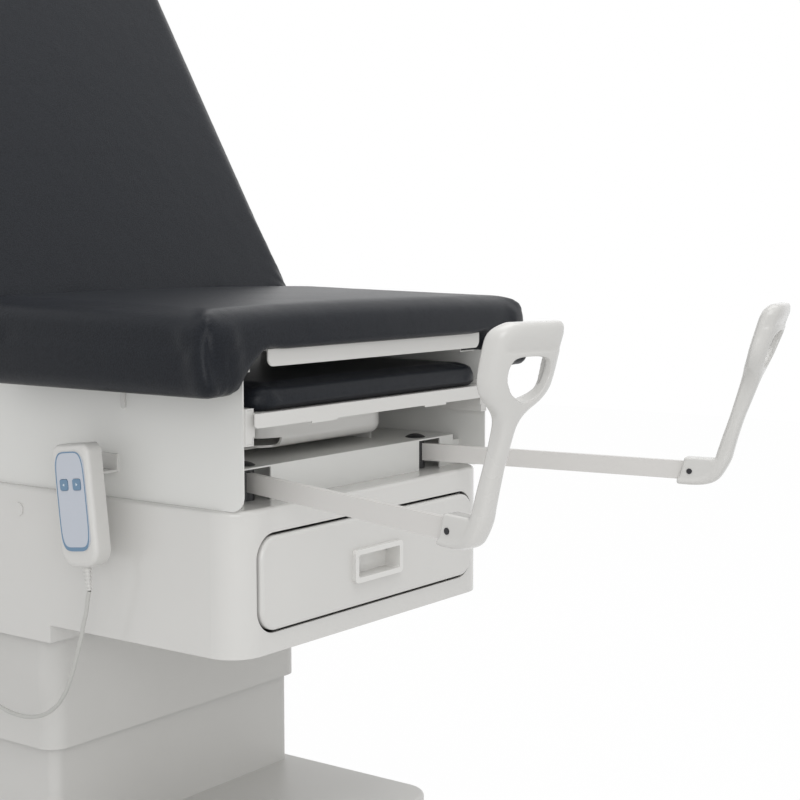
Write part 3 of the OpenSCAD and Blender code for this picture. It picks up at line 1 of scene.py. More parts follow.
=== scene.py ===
# %% [markdown]
# # An examination table, dressed in Blender
# The steel column, covers, drawer and stirrups of this table come from a CAD model, already in
# metres and in their final places. This lesson gives them their finishes and rebuilds the soft and
# moulded pieces that CAD can only rough out: the padding, the heel rests and the cord.

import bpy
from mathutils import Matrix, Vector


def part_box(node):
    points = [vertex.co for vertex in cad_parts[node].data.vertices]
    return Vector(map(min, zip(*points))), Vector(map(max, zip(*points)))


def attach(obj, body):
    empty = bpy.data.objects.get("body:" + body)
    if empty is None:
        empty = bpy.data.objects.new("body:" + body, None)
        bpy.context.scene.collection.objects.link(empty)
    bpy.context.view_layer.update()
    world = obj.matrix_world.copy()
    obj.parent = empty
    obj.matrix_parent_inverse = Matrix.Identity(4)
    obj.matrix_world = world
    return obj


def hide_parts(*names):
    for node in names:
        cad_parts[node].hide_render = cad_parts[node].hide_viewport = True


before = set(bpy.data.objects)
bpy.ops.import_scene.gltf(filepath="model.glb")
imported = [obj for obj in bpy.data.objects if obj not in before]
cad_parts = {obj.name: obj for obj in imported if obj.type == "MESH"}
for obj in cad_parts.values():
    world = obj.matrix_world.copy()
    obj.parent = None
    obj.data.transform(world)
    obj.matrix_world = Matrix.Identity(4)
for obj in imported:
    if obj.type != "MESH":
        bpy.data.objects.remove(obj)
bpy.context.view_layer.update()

# %% [markdown]
# ## Camera
# The table is seen from its foot end, from the left and a little above the seat. A long lens keeps
# the two stirrup arms nearly parallel, so the camera stands more than two metres away. Its heading
# is the turn from the table's width towards its length, and its dip is how far it looks down.

# %% Camera
import math

import bmesh
import bpy
from mathutils import Matrix, Vector

HEADING, DIP = math.radians(36.27), math.radians(5.54)
CAMERA_PLACE = (-1.671, -1.810, 0.889)
LENS_MM, SENSOR_MM = 72, 36

scene = bpy.context.scene
level = math.cos(DIP)
gaze = Vector((math.cos(HEADING) * level, math.sin(HEADING) * level, -math.sin(DIP)))
lens = bpy.data.cameras.new("table_camera")
lens.lens, lens.sensor_width, lens.sensor_fit = LENS_MM, SENSOR_MM, "HORIZONTAL"
camera = bpy.data.objects.new("table_camera", lens)
camera.location = CAMERA_PLACE
camera.rotation_euler = gaze.to_track_quat("-Z", "Y").to_euler()
scene.collection.objects.link(camera)
scene.camera = camera
scene.view_settings.view_transform = "Standard"
print("camera looks along", [round(v, 3) for v in gaze])

# %% [markdown]
# ## The hand control's cord
# The cord leaves the ribbed sleeve under the hand control, hangs down below the cover's edge and
# swings back up into a gland behind it. It is one light plastic lead, so a curve with a round bevel
# is the natural form: its centreline is the route, and its points carry the lead's radius.

# %% Cord
CORD_ROUTE_MM = [
    (-313, -331, 458), (-313, -328, 446), (-312, -324, 430), (-312, -318, 412), (-311, -312, 394),
    (-311, -305, 374), (-310, -297, 354), (-309, -287, 333), (-307, -273, 312), (-305, -255, 294),
    (-303, -232, 280), (-301, -204, 271), (-299, -172, 268), (-297, -140, 271), (-295, -108, 279),
    (-293, -78, 291), (-291, -50, 306), (-289, -26, 323), (-287, -6, 342), (-286, 8, 360),
    (-285, 12, 374), (-285, 12, 386)]
CORD_DIAMETER = 0.0055
STEPS_ALONG, STEPS_ROUND = 6, 4


def hanging_cord(name, route_mm, diameter):
    """A round lead whose centreline runs smoothly through the route's points. The bevel is as deep
    as one unit of radius, so each point's radius is the lead's own."""
    curve = bpy.data.curves.new(name, "CURVE")
    curve.dimensions, curve.resolution_u = "3D", STEPS_ALONG
    curve.bevel_depth, curve.bevel_resolution = 1, STEPS_ROUND
    spline = curve.splines.new("BEZIER")
    spline.bezier_points.add(len(route_mm) - 1)
    for point, place in zip(spline.bezier_points, route_mm):
        point.co, point.radius = Vector(place) / 1000, diameter / 2
        point.handle_left_type = point.handle_right_type = "AUTO"
    piece = bpy.data.objects.new(name, curve)
    scene.collection.objects.link(piece)
    return piece


def drawn_length(piece):
    """Length of a curve's centreline, measured on its own splines."""
    total = 0.0
    for spline in piece.data.splines:
        total += spline.calc_length()
    return total


cord = hanging_cord("hand_control_cord", CORD_ROUTE_MM, CORD_DIAMETER)
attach(cord, "table")
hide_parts("handset_cord")
print("cord length in metres:", round(drawn_length(cord), 3))

# %% [markdown]
# ## Room and light
# White enamel shows its form only through soft shade, so the room is a bright, even one: a white
# surround, one wide lamp overhead and a weaker one in front. The floor and the surround look white
# to the camera and to polished metal, while the light they give the table stays at a plain level.

# %% Surround and floor


def tree_of(owner):
    """An empty node tree for a material or world."""
    owner.use_nodes = True
    owner.node_tree.nodes.clear()
    return owner.node_tree


def seen_directly(tree):
    """1 where the camera, a mirror or glass looks straight at the surface, and 0 elsewhere."""
    path = tree.nodes.new("ShaderNodeLightPath")
    either = tree.nodes.new("ShaderNodeMath")
    either.operation = "MAXIMUM"
    tree.links.new(path.outputs["Is Camera Ray"], either.inputs[0])
    tree.links.new(path.outputs["Is Glossy Ray"], either.inputs[1])
    both = tree.nodes.new("ShaderNodeMath")
    both.operation = "MAXIMUM"
    tree.links.new(either.outputs[0], both.inputs[0])
    tree.links.new(path.outputs["Is Transmission Ray"], both.inputs[1])
    return both.outputs[0]


ROOM_LIGHT = 0.68
FLOOR_HALF, FLOOR_GREY, FLOOR_WHITE = 6.0, 0.8, 0.985

surround = bpy.data.worlds.new("white_surround")
scene.world = surround
tree = tree_of(surround)
room = tree.nodes.new("ShaderNodeBackground")
room.inputs["Strength"].default_value = ROOM_LIGHT
white = tree.nodes.new("ShaderNodeBackground")
pick = tree.nodes.new("ShaderNodeMixShader")
tree.links.new(seen_directly(tree), pick.inputs[0])
for shader, socket in ((room, 1), (white, 2)):
    shader.inputs["Color"].default_value = (1, 1, 1, 1)
    tree.links.new(shader.outputs[0], pick.inputs[socket])
tree.links.new(pick.outputs[0], tree.nodes.new("ShaderNodeOutputWorld").inputs["Surface"])

floor_mesh = bmesh.new()
bmesh.ops.create_grid(floor_mesh, x_segments=1, y_segments=1, size=FLOOR_HALF)
floor_data = bpy.data.meshes.new("studio_floor")
floor_mesh.to_mesh(floor_data)
floor_mesh.free()
floor = bpy.data.objects.new("studio_floor", floor_data)
scene.collection.objects.link(floor)

floor_paint = bpy.data.materials.new("floor_paint")
tree = tree_of(floor_paint)
matt = tree.nodes.new("ShaderNodeBsdfDiffuse")
matt.inputs["Color"].default_value = (FLOOR_GREY,) * 3 + (1,)
glow = tree.nodes.new("ShaderNodeEmission")
pick = tree.nodes.new("ShaderNodeMixShader")
weaken = tree.nodes.new("ShaderNodeMath")
weaken.operation = "MULTIPLY"
weaken.inputs[1].default_value = FLOOR_WHITE
tree.links.new(seen_directly(tree), weaken.inputs[0])
tree.links.new(weaken.outputs[0], pick.inputs[0])
tree.links.new(matt.outputs[0], pick.inputs[1])
tree.links.new(glow.outputs[0], pick.inputs[2])
tree.links.new(pick.outputs[0], tree.nodes.new("ShaderNodeOutputMaterial").inputs["Surface"])
floor_data.materials.append(floor_paint)
print("floor half width in metres:", FLOOR_HALF)

# %% Lamps


def soft_lamp(name, place, target, size, power):
    """A square area lamp that faces its target."""
    lamp = bpy.data.lights.new(name, "AREA")
    lamp.size, lamp.energy = size, power
    holder = bpy.data.objects.new(name, lamp)
    holder.location = place
    holder.rotation_euler = (Vector(target) - Vector(place)).to_track_quat("-Z", "Y").to_euler()
    scene.collection.objects.link(holder)
    return holder


lamps = [
    soft_lamp("overhead_lamp", (-0.3, -0.9, 3.2), target=(0, 0, 0.6), size=2.4, power=38),
    soft_lamp("front_lamp", (-2.4, -2.7, 1.3), target=(0, -0.2, 0.6), size=1.8, power=25),
]
print("lamps:", [(lamp.name, lamp.data.energy) for lamp in lamps])

# %% [markdown]
# ## Finishes
# Powder coating, moulded plastic, vinyl and rubber differ less in colour than in how finely their
# surface is broken up. Two small effects carry that and are shared as node groups: a fine skin,
# which gives a bump height, and a slow drift, which varies tone and polish as handling does. Both
# read Object coordinates, so their grain keeps its true size in metres on every piece.

# %% Shared effects
VECTOR, FLOAT = "NodeSocketVector", "NodeSocketFloat"
PEBBLES_PER_METRE, PEBBLE_BLEND, PEBBLE_REACH = 620, 0.5, 0.7


def effect(name, inputs, outputs):
    """A node group with its named sockets, and its own input and output nodes."""
    group = bpy.data.node_groups.new(name, "ShaderNodeTree")
    for label, kind, value in inputs:
        socket = group.interface.new_socket(label, in_out="INPUT", socket_type=kind)
        if value is not None:
            socket.default_value = value
    for label, kind in outputs:
        group.interface.new_socket(label, in_out="OUTPUT", socket_type=kind)
    return group, group.nodes.new("NodeGroupInput"), group.nodes.new("NodeGroupOutput")


def noise(tree, vector, scale, detail, rough=0.5):
    """A noise texture on a vector socket. Scale is a number or a socket."""
    node = tree.nodes.new("ShaderNodeTexNoise")
    node.inputs["Detail"].default_value = detail
    node.inputs["Roughness"].default_value = rough
    tree.links.new(vector, node.inputs["Vector"])
    if isinstance(scale, (int, float)):
        node.inputs["Scale"].default_value = scale
    else:
        tree.links.new(scale, node.inputs["Scale"])
    return node.outputs[0]


fine_skin, start, end = effect("fine skin", [("Place", VECTOR, None), ("Scale", FLOAT, 500.0)],
                               [("Height", FLOAT)])
fine_skin.links.new(noise(fine_skin, start.outputs["Place"], start.outputs["Scale"], detail=2.0),
                    end.inputs["Height"])

slow_drift, start, end = effect("slow drift", [("Place", VECTOR, None)], [("Mask", FLOAT)])
slow_drift.links.new(
    noise(slow_drift, start.outputs["Place"], scale=5.0, detail=5.0, rough=0.6),
    end.inputs["Mask"])

vinyl_grain, start, end = effect("vinyl grain", [("Place", VECTOR, None)],
                                 [("Height", FLOAT), ("Valleys", FLOAT)])
pebbles = vinyl_grain.nodes.new("ShaderNodeTexVoronoi")
pebbles.feature = "SMOOTH_F1"
pebbles.inputs["Scale"].default_value = PEBBLES_PER_METRE
pebbles.inputs["Smoothness"].default_value = PEBBLE_BLEND
vinyl_grain.links.new(start.outputs["Place"], pebbles.inputs["Vector"])
soften = vinyl_grain.nodes.new("ShaderNodeMapRange")
soften.inputs["From Max"].default_value = PEBBLE_REACH
soften.inputs["To Min"].default_value = 1.0
soften.inputs["To Max"].default_value = 0.0
vinyl_grain.links.new(pebbles.outputs["Distance"], soften.inputs["Value"])
vinyl_grain.links.new(soften.outputs[0], end.inputs["Height"])
valley = vinyl_grain.nodes.new("ShaderNodeMath")
valley.operation = "SUBTRACT"
valley.inputs[0].default_value = 1.0
vinyl_grain.links.new(soften.outputs[0], valley.inputs[1])
vinyl_grain.links.new(valley.outputs[0], end.inputs["Valleys"])
print("effects:", [group.name for group in (fine_skin, slow_drift, vinyl_grain)])

# %% Building one finish
FIRST, SECOND, BLEND = 6, 7, 2  # the colour sockets of a mix node: both inputs and the output
SMOOTHEST = 0.02
PEBBLE_DEPTH, VALLEY_SHADE = 0.00016, 0.55


def tone(red, green, blue):
    """A colour as a camera writes it, 0 to 255, turned into Blender's linear values."""
    parts = [c / 255 for c in (red, green, blue)]
    return tuple(p / 12.92 if p <= 0.04045 else ((p + 0.055) / 1.055) ** 2.4 for p in parts) + (1,)


def finish(name, colour, roughness, skin=500.0, depth=0.00004, metallic=0.0, coat=0.0,
           coat_roughness=0.08, specular=0.5, drift=0.035, polish=0.05):
    """A solid surface: its colour and polish drift slowly, and its skin has a fine bump. Skin is
    the bump's fineness per metre and depth its height in metres."""
    material = bpy.data.materials.new(name)
    tree = tree_of(material)
    new, link = tree.nodes.new, tree.links.new
    shader = new("ShaderNodeBsdfPrincipled")
    link(shader.outputs[0], new("ShaderNodeOutputMaterial").inputs["Surface"])
    shader.inputs["Metallic"].default_value = metallic
    shader.inputs["Coat Weight"].default_value = coat
    shader.inputs["Coat Roughness"].default_value = coat_roughness
    shader.inputs["Specular IOR Level"].default_value = specular
    place = new("ShaderNodeTexCoord").outputs["Object"]
    slow = new("ShaderNodeGroup")
    slow.node_tree = slow_drift
    link(place, slow.inputs["Place"])
    tint = new("ShaderNodeMix")
    tint.data_type = "RGBA"
    light = tone(*colour)
    tint.inputs[FIRST].default_value = tuple(v * (1 - drift) for v in light[:3]) + (1,)
    tint.inputs[SECOND].default_value = tuple(min(1, v * (1 + drift)) for v in light[:3]) + (1,)
    link(slow.outputs["Mask"], tint.inputs[0])
    link(tint.outputs[BLEND], shader.inputs["Base Color"])
    gloss = new("ShaderNodeMapRange")
    gloss.inputs["To Min"].default_value = max(SMOOTHEST, roughness - polish)
    gloss.inputs["To Max"].default_value = roughness + polish
    link(slow.outputs["Mask"], gloss.inputs["Value"])
    link(gloss.outputs[0], shader.inputs["Roughness"])
    skin_node = new("ShaderNodeGroup")
    skin_node.node_tree = fine_skin
    skin_node.inputs["Scale"].default_value = skin
    link(place, skin_node.inputs["Place"])
    bump = new("ShaderNodeBump")
    bump.inputs["Distance"].default_value = depth
    link(skin_node.outputs["Height"], bump.inputs["Height"])
    link(bump.outputs[0], shader.inputs["Normal"])
    return material


def padding_finish(name, colour):
    """Upholstery vinyl: a pebbled skin with darker valleys over slow, soft unevenness."""
    material = finish(name, colour, 0.34, skin=26.0, depth=0.0006, specular=0.15, drift=0.08,
                      polish=0.05)
    tree = material.node_tree
    new, link = tree.nodes.new, tree.links.new
    shader = next(n for n in tree.nodes if n.type == "BSDF_PRINCIPLED")
    below = next(n for n in tree.nodes if n.type == "BUMP")
    place = next(n for n in tree.nodes if n.type == "TEX_COORD").outputs["Object"]
    tint = next(n for n in tree.nodes if n.type == "MIX")
    grain = new("ShaderNodeGroup")
    grain.node_tree = vinyl_grain
    link(place, grain.inputs["Place"])
    pebbled = new("ShaderNodeBump")
    pebbled.inputs["Distance"].default_value = PEBBLE_DEPTH
    link(grain.outputs["Height"], pebbled.inputs["Height"])
    link(below.outputs[0], pebbled.inputs["Normal"])
    link(pebbled.outputs[0], shader.inputs["Normal"])
    shade = new("ShaderNodeMix")
    shade.data_type = "RGBA"
    shade.inputs[SECOND].default_value = tuple(
        v * VALLEY_SHADE for v in tone(*colour)[:3]) + (1,)
    link(grain.outputs["Valleys"], shade.inputs[0])
    link(tint.outputs[BLEND], shade.inputs[FIRST])
    link(shade.outputs[BLEND], shader.inputs["Base Color"])
    return material


FINISHES = {
    "panel_enamel": finish("panel_enamel", (218, 218, 215), 0.36, skin=420, depth=0.00005),
    "cover_plastic": finish("cover_plastic", (207, 206, 203), 0.24, skin=300, depth=0.00002,
                            coat=0.35, coat_roughness=0.12),
    "shroud_plastic": finish("shroud_plastic", (203, 202, 199), 0.38, skin=300, depth=0.00003),
    "tray_enamel": finish("tray_enamel", (208, 207, 204), 0.3, skin=420, depth=0.00004),
    "arm_enamel": finish("arm_enamel", (208, 206, 203), 0.34, skin=420, depth=0.00004),
    "moulded_white": finish("moulded_white", (202, 201, 198), 0.26, skin=260, depth=0.00002,
                            coat=0.3),
    # The same moulded white plastic drawn lighter: painted light, which brightens the basin and the
    # drawer handle where they sit in shade.
    "white_plastic_painted_light": finish("white_plastic_painted_light", (219, 218, 215), 0.24, skin=260, depth=0.00002,
                            coat=0.3),
    "control_shell": finish("control_shell", (206, 205, 202), 0.34, skin=900, depth=0.00004),
    "control_film": finish("control_film", (188, 193, 202), 0.32, skin=700, depth=0.00001),
    "control_blue": finish("control_blue", (104, 134, 160), 0.34, skin=700, depth=0.00001),
    "control_mark": finish("control_mark", (205, 214, 221), 0.4, skin=700, depth=0.00001),
    "cord_plastic": finish("cord_plastic", (184, 184, 180), 0.42, skin=900, depth=0.00003),
    "steel": finish("steel", (170, 172, 174), 0.3, skin=700, depth=0.00002, metallic=1.0,
                    drift=0.06),
    "screw_metal": finish("screw_metal", (62, 62, 64), 0.28, skin=900, depth=0.00002,
                          metallic=1.0),
    "black_board": finish("black_board", (34, 34, 35), 0.6, skin=600, depth=0.00006),
    "black_rubber": finish("black_rubber", (33, 33, 34), 0.62, skin=500, depth=0.00006),
    "black_plastic": finish("black_plastic", (30, 31, 33), 0.4, skin=500, depth=0.00003),
    "black_enamel": finish("black_enamel", (27, 28, 30), 0.22, skin=400, depth=0.00002, coat=0.4),
    "padding_vinyl": padding_finish("padding_vinyl", (35, 38, 44)),
}
print("finishes:", len(FINISHES))

# %% [markdown]
# ## Finishes on the CAD pieces
# Every CAD piece keeps its shape here and only gets a surface. The list names the pieces by the
# finish that they share on the real table, from the enamelled panels to the screws. Only the basin
# and the drawer handle get a lighter copy of the moulded white plastic: painted light, which lifts
# them out of the shade they sit in.

# %% Paint the CAD pieces
PAINTED = {
    "panel_enamel": ["side_panel_left", "side_panel_right", "stirrup_housing"],
    "cover_plastic": ["main_cover", "cover_plugs", "drawer_front"],
    "shroud_plastic": ["base_cover", "lower_shroud", "upper_shroud"],
    "tray_enamel": ["seat_plate", "leg_rest_plate", "backrest_plate", "drawer_tray",
                    "leg_rest_rails", "basin_rails"],
    "arm_enamel": ["stirrup_arm_left", "stirrup_arm_right"],
    "moulded_white": ["cushion_clips", "handset_hook", "cable_gland"],
    # Painted light: the basin and the handle are moulded white plastic, given a lighter copy
    # against their shade.
    "white_plastic_painted_light": ["basin", "drawer_handle"],
    "control_shell": ["handset_body", "handset_strain_relief"],
    "control_film": ["handset_face"],
    "control_blue": ["key_up", "key_down"],
    "steel": ["base_plate", "column_outer", "column_middle", "column_inner", "spindle_lower",
              "spindle_middle", "spindle_upper", "chassis_side_tubes", "chassis_cross_beams",
              "deck_beam", "backrest_brackets", "drawer_runners", "hinge_pins", "gas_spring_rod"],
    "screw_metal": ["heel_screw_left", "heel_screw_right"],
    "black_board": ["seat_board"],
    "black_rubber": ["base_edge_strip", "levelling_feet"],
    "black_plastic": ["swivel_yoke_left", "swivel_yoke_right", "pivot_cap_left",
                      "pivot_cap_right", "mains_inlet", "control_box", "lift_motor"],
    "black_enamel": ["gas_spring_tube"],
}


def paint(piece, finish_name):
    """Gives every slot of a piece the same finish."""
    slots = piece.data.materials
    if not len(slots):
        slots.append(FINISHES[finish_name])
    for i in range(len(slots)):
        slots[i] = FINISHES[finish_name]


for finish_name, names in PAINTED.items():
    for name in names:
        paint(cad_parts[name], finish_name)
paint(cord, "cord_plastic")
unpainted = set(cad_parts) - {n for names in PAINTED.values() for n in names}
print("left for their own pieces:", sorted(unpainted))

# %% [markdown]
# ## Padding
# Each pad is foam under tight vinyl, so it is full, its edges are round, and its cover is drawn in
# where it is stapled. A welded copy of the CAD pad gives the outline. An even new mesh then lets
# cloth with a little pressure round it out, held still where it lies on its board, and the cover's
# folds are pressed in afterwards, because the new mesh would lose them.

# %% Tools for soft pieces
WELD = 0.00002
PRESSURE, CLOTH_QUALITY, CLOTH_FRAMES = 2, 4, 20


def add_piece(name, mesh):
    """A new object at the origin that shows a mesh."""
    piece = bpy.data.objects.new(name, mesh)
    scene.collection.objects.link(piece)
    return piece


def settle(piece):
    """Makes the result of a piece's modifiers its mesh, and removes them."""
    bpy.context.view_layer.update()
    shaped = piece.evaluated_get(bpy.context.evaluated_depsgraph_get())
    mesh = bpy.data.meshes.new_from_object(shaped)
    piece.modifiers.clear()
    old, piece.data = piece.data, mesh
    bpy.data.meshes.remove(old)
    return piece


def edit(piece, change):
    """Runs a change on a piece's bmesh."""
    mesh = bmesh.new()
    mesh.from_mesh(piece.data)
    change(mesh)
    mesh.to_mesh(piece.data)
    mesh.free()
    piece.data.update()


def even_out(piece, times, factor=0.5):
    """Moves each point towards the middle of its neighbours, several times."""
    def relax(mesh):
        for _ in range(times):
            bmesh.ops.smooth_vert(mesh, verts=mesh.verts, factor=factor, use_axis_x=True,
                                  use_axis_y=True, use_axis_z=True)
    edit(piece, relax)


def even_mesh(piece, grid):
    """Gives a piece an even new mesh."""
    remesh = piece.modifiers.new("even_mesh", "REMESH")
    remesh.mode, remesh.voxel_size = "VOXEL", grid
    return settle(piece)


def even_copy(node, name, grid):
    """A welded copy of a CAD node under an even new mesh."""
    piece = add_piece(name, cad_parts[node].data.copy())
    piece.data.materials.clear()
    edit(piece, lambda mesh: bmesh.ops.remove_doubles(mesh, verts=mesh.verts, dist=WELD))
    return even_mesh(piece, grid)


def fill_out(piece, limit, held):
    """Lets cloth under pressure round the piece out. No point moves further than limit, and the
    points for which held(place) is true stay."""
    rest = [v.co.copy() for v in piece.data.vertices]
    group = piece.vertex_groups.new(name="held")
    group.add([i for i, place in enumerate(rest) if held(place)], 1.0, "REPLACE")
    cloth = piece.modifiers.new("filling", "CLOTH")
    cloth.settings.use_pressure = True
    cloth.settings.uniform_pressure_force = PRESSURE
    cloth.settings.effector_weights.gravity = 0
    cloth.settings.vertex_group_mass = "held"
    cloth.settings.quality = CLOTH_QUALITY
    cloth.point_cache.frame_end = CLOTH_FRAMES
    for step in range(1, CLOTH_FRAMES + 1):
        scene.frame_set(step)
    settle(piece)
    scene.frame_set(1)
    moved = 0.0
    for vertex, place in zip(piece.data.vertices, rest):
        step = vertex.co - place
        if step.length > limit:
            vertex.co = place + step.normalized() * limit
        moved = max(moved, (vertex.co - place).length)
    return moved


def refine(piece):
    """One even subdivision."""
    finer = piece.modifiers.new("finer", "SUBSURF")
    finer.levels = finer.render_levels = 1
    return settle(piece)


def press(piece, depth):
    """Moves each point against its own normal by depth(place, normal) metres."""
    piece.data.update()
    normals = [v.normal.copy() for v in piece.data.vertices]
    for vertex, normal in zip(piece.data.vertices, normals):
        vertex.co -= normal * depth(vertex.co, normal)
    piece.data.update()


def show_smooth(piece):
    """Shades a piece's faces as one smooth surface."""
    piece.data.polygons.foreach_set("use_smooth", [True] * len(piece.data.polygons))
    return piece


def hollow(distance, width):
    """A smooth groove: 1 at its middle and 0 beyond about two widths."""
    return math.exp(-(distance / width) ** 2)


def ramp(value, low, high):
    """0 at low, 1 at high and smooth between."""
    t = min(1.0, max(0.0, (value - low) / (high - low)))
    return t * t * (3 - 2 * t)


# %% Seat pad
seat_low, seat_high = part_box("seat_cushion")
board_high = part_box("seat_board")[1]
print("seat pad box:", [round(v, 3) for v in (*seat_low, *seat_high)])
SEAT_GRID, SEAT_SWELL = 0.006, 0.0015
SKIRT_THICK, BOARD_TOUCH, STAPLED = 0.058, 0.004, 0.012


def on_the_board(place):
    """True on the arch under the pad, where it lies on its board and plate, and along the lower
    edge of its skirts, where the cover is stapled."""
    under = (abs(place.x) < seat_high.x - SKIRT_THICK and place.z < board_high.z + BOARD_TOUCH)
    return under or place.z < seat_low.z + STAPLED


seat = even_copy("seat_cushion", "seat_pad", SEAT_GRID)
even_out(seat, 3)

LIP_DOWN, LIP_ALONG = 0.0065, 0.007
LIP_REACH, LIP_HEIGHT = (0.014, 0.029), (0.002, 0.032)  # behind the front and above the board
STRAIGHT_END, ARCH_START, ARCH_END = (0.200, 0.245), (0.195, 0.230), (0.285, 0.325)  # from middle
CORNER_FILL, CORNER_WIDTH, CORNER_REACH = 0.008, 0.024, (0.020, 0.045)


def front_lip(place):
    """How far the cover hangs ahead of the board: down between the two arches and towards the
    middle along them. Its two corners are filled out."""
    out = abs(place.x)
    near, behind, above = seat_high.x - out, place.y - seat_low.y, place.z - board_high.z
    under = (1 - ramp(behind, *LIP_REACH)) * (1 - ramp(above, *LIP_HEIGHT))
    down = LIP_DOWN * under * (1 - ramp(out, *STRAIGHT_END))
    along = LIP_ALONG * under * ramp(out, *ARCH_START) * (1 - ramp(out, *ARCH_END))
    corner = CORNER_FILL * hollow(near - behind, CORNER_WIDTH) * (
        1 - ramp(max(near, behind), *CORNER_REACH))
    return Vector((math.copysign(corner - along, place.x), -corner, -down))


for vertex in seat.data.vertices:
    vertex.co += front_lip(vertex.co)
print("seat pad moved at most", round(fill_out(seat, SEAT_SWELL, on_the_board), 4))
even_out(seat, 2, 0.3)
refine(seat)

FOLD_DEPTH, FOLD_WIDTH, FOLD_LEAN, FOLD_FOOT = 0.0095, 0.0150, 0.020, 0.2
FOLD_FADE, FOLD_TOP, FOLD_FULL = (0.045, 0.085), (0.012, 0.036), 0.030  # from the corner, the top
FOLD_TURN = 1.2  # how soon a fold ends where the cover turns level
SWELL_HEIGHT, SWELL_PLACE, SWELL_WIDTH = 0.0034, 0.036, 0.016
SLIT_DEPTH, SLIT_WIDTH, SLIT_START, SLIT_END = 0.0022, 0.0030, (0, 0.004), (0.008, 0.016)
TUCK_DEPTH, TUCK_HEIGHT, TUCK_REACH, TUCK_TURNS, TUCK_DRIFT = 0.0003, 0.030, 0.02, 410, 37


def seat_folds(place, normal):
    """Depth of the one soft fold down each front corner, of the slit at its foot, and of the slight
    tucks along the lower front edge."""
    near, behind = abs(abs(place.x) - seat_high.x), abs(place.y - seat_low.y)
    below, above = seat_high.z - place.z, place.z - seat_low.z
    height = ramp(above, 0, seat_high.z - FOLD_FULL - seat_low.z)
    along, reach = near - behind - FOLD_LEAN * (1 - height), max(near, behind)
    fold = 0.0
    if reach < FOLD_FADE[1]:
        tall = ramp(below, *FOLD_TOP) * (FOLD_FOOT + (1 - FOLD_FOOT) * height)
        fade = (1 - ramp(reach, *FOLD_FADE)) * max(0.0, 1 - abs(normal.z) * FOLD_TURN)
        fold = fade * tall * (FOLD_DEPTH * hollow(along, FOLD_WIDTH)
                              - SWELL_HEIGHT * hollow(abs(along) - SWELL_PLACE, SWELL_WIDTH))
        slit = ramp(above, *SLIT_START) * (1 - ramp(above, *SLIT_END))
        fold += fade * slit * SLIT_DEPTH * hollow(along, SLIT_WIDTH)
    if above < TUCK_HEIGHT and place.y < seat_low.y + TUCK_REACH:
        wave = math.sin(place.x * TUCK_TURNS + 3 * math.sin(place.x * TUCK_DRIFT))
        fold += TUCK_DEPTH * (1 - ramp(above, 0, TUCK_HEIGHT)) * wave
    return fold


press(seat, seat_folds)
even_out(seat, 1)
show_smooth(seat)
paint(seat, "padding_vinyl")
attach(seat, "table")
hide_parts("seat_cushion")
print("seat pad faces:", len(seat.data.polygons))

# %% Backrest pad
HINGE = Vector((0, -0.108, 0.793))
RAISED = math.radians(60)
to_flat = (Matrix.Translation(HINGE) @ Matrix.Rotation(-RAISED, 4, "X")
           @ Matrix.Translation(-HINGE))
BACK_UNDER, PLATE_TOUCH = 0.763, 0.004
BACK_HALF_WIDTH, BACK_GRID, BACK_SWELL = 0.332, 0.0075, 0.004
GATHER_DEPTH, GATHER_PLACE, GATHER_WIDTH, GATHER_REACH, GATHERS = 0.0009, 0.03, 0.022, 0.09, 13


def on_the_back_plate(place):
    """True on the flat underside, where the pad lies on its plate."""
    flat = to_flat @ place
    return flat.z < BACK_UNDER + PLATE_TOUCH


back = even_copy("backrest_cushion", "backrest_pad", BACK_GRID)
even_out(back, 3)
print("backrest pad moved at most", round(fill_out(back, BACK_SWELL, on_the_back_plate), 4))
refine(back)


def back_folds(place, normal):
    """Small gathers at the two corners beside the seat."""
    flat = to_flat @ place
    near, start = abs(abs(flat.x) - BACK_HALF_WIDTH), abs(flat.y - HINGE.y)
    reach = math.hypot(near, start)
    if reach > GATHER_REACH:
        return 0.0
    around = math.atan2(start, near + 0.001)
    fade = hollow(reach - GATHER_PLACE, GATHER_WIDTH)
    return fade * GATHER_DEPTH * math.sin(around * GATHERS)


press(back, back_folds)
show_smooth(back)
paint(back, "padding_vinyl")
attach(back, "backrest")
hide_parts("backrest_cushion")
print("backrest pad faces:", len(back.data.polygons))

# %% Leg rest pad
leg_low, leg_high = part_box("leg_rest_cushion")
LEG_TOUCH, LEG_GRID, LEG_SWELL = 0.006, 0.005, 0.003
CREASE_DEPTH, CREASE_DROP, CREASE_WIDTH, CREASE_FADE = 0.0016, 0.013, 0.003, (0.02, 0.08)
CREASE_TURN = 1.3


def on_the_leg_plate(place):
    """True on the flat underside."""
    return place.z < leg_low.z + LEG_TOUCH


leg = even_copy("leg_rest_cushion", "leg_rest_pad", LEG_GRID)
even_out(leg, 3)
print("leg rest pad moved at most", round(fill_out(leg, LEG_SWELL, on_the_leg_plate), 4))
refine(leg)


def leg_lip(place, normal):
    """The cover's crease just under the top edge of the pad's front."""
    front = 1 - ramp(place.y - leg_low.y, *CREASE_FADE)
    side = max(0.0, 1 - abs(normal.z) * CREASE_TURN)
    return CREASE_DEPTH * front * side * hollow(
        place.z - (leg_high.z - CREASE_DROP), CREASE_WIDTH)


press(leg, leg_lip)
show_smooth(leg)
paint(leg, "padding_vinyl")
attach(leg, "leg_rest")
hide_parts("leg_rest_cushion")
print("leg rest pad faces:", len(leg.data.polygons))

# %% [markdown]
# ## Heel rests
# Each heel rest is one moulding: a clamp round the end of the stirrup arm, a stem that curls up
# from it, and a cupped paddle with a large opening. The sections of the stem and paddle are closed
# loops bridged together, the clamp is joined and the cup and opening are cut with booleans, and a
# fine new mesh that is then evened gives all edges the soft radius of a moulding.

# %% Heel rest sections
ARM_REACH, ARM_SPLAY, ARM_DROOP = 0.399, math.radians(14.2), math.radians(1)
PIVOT = Vector((0.184, -0.476, 0.594))
FLARE, FLARE_FROM, FLARE_TO = 0.0045, 128, 154
STEPS_BETWEEN = 4

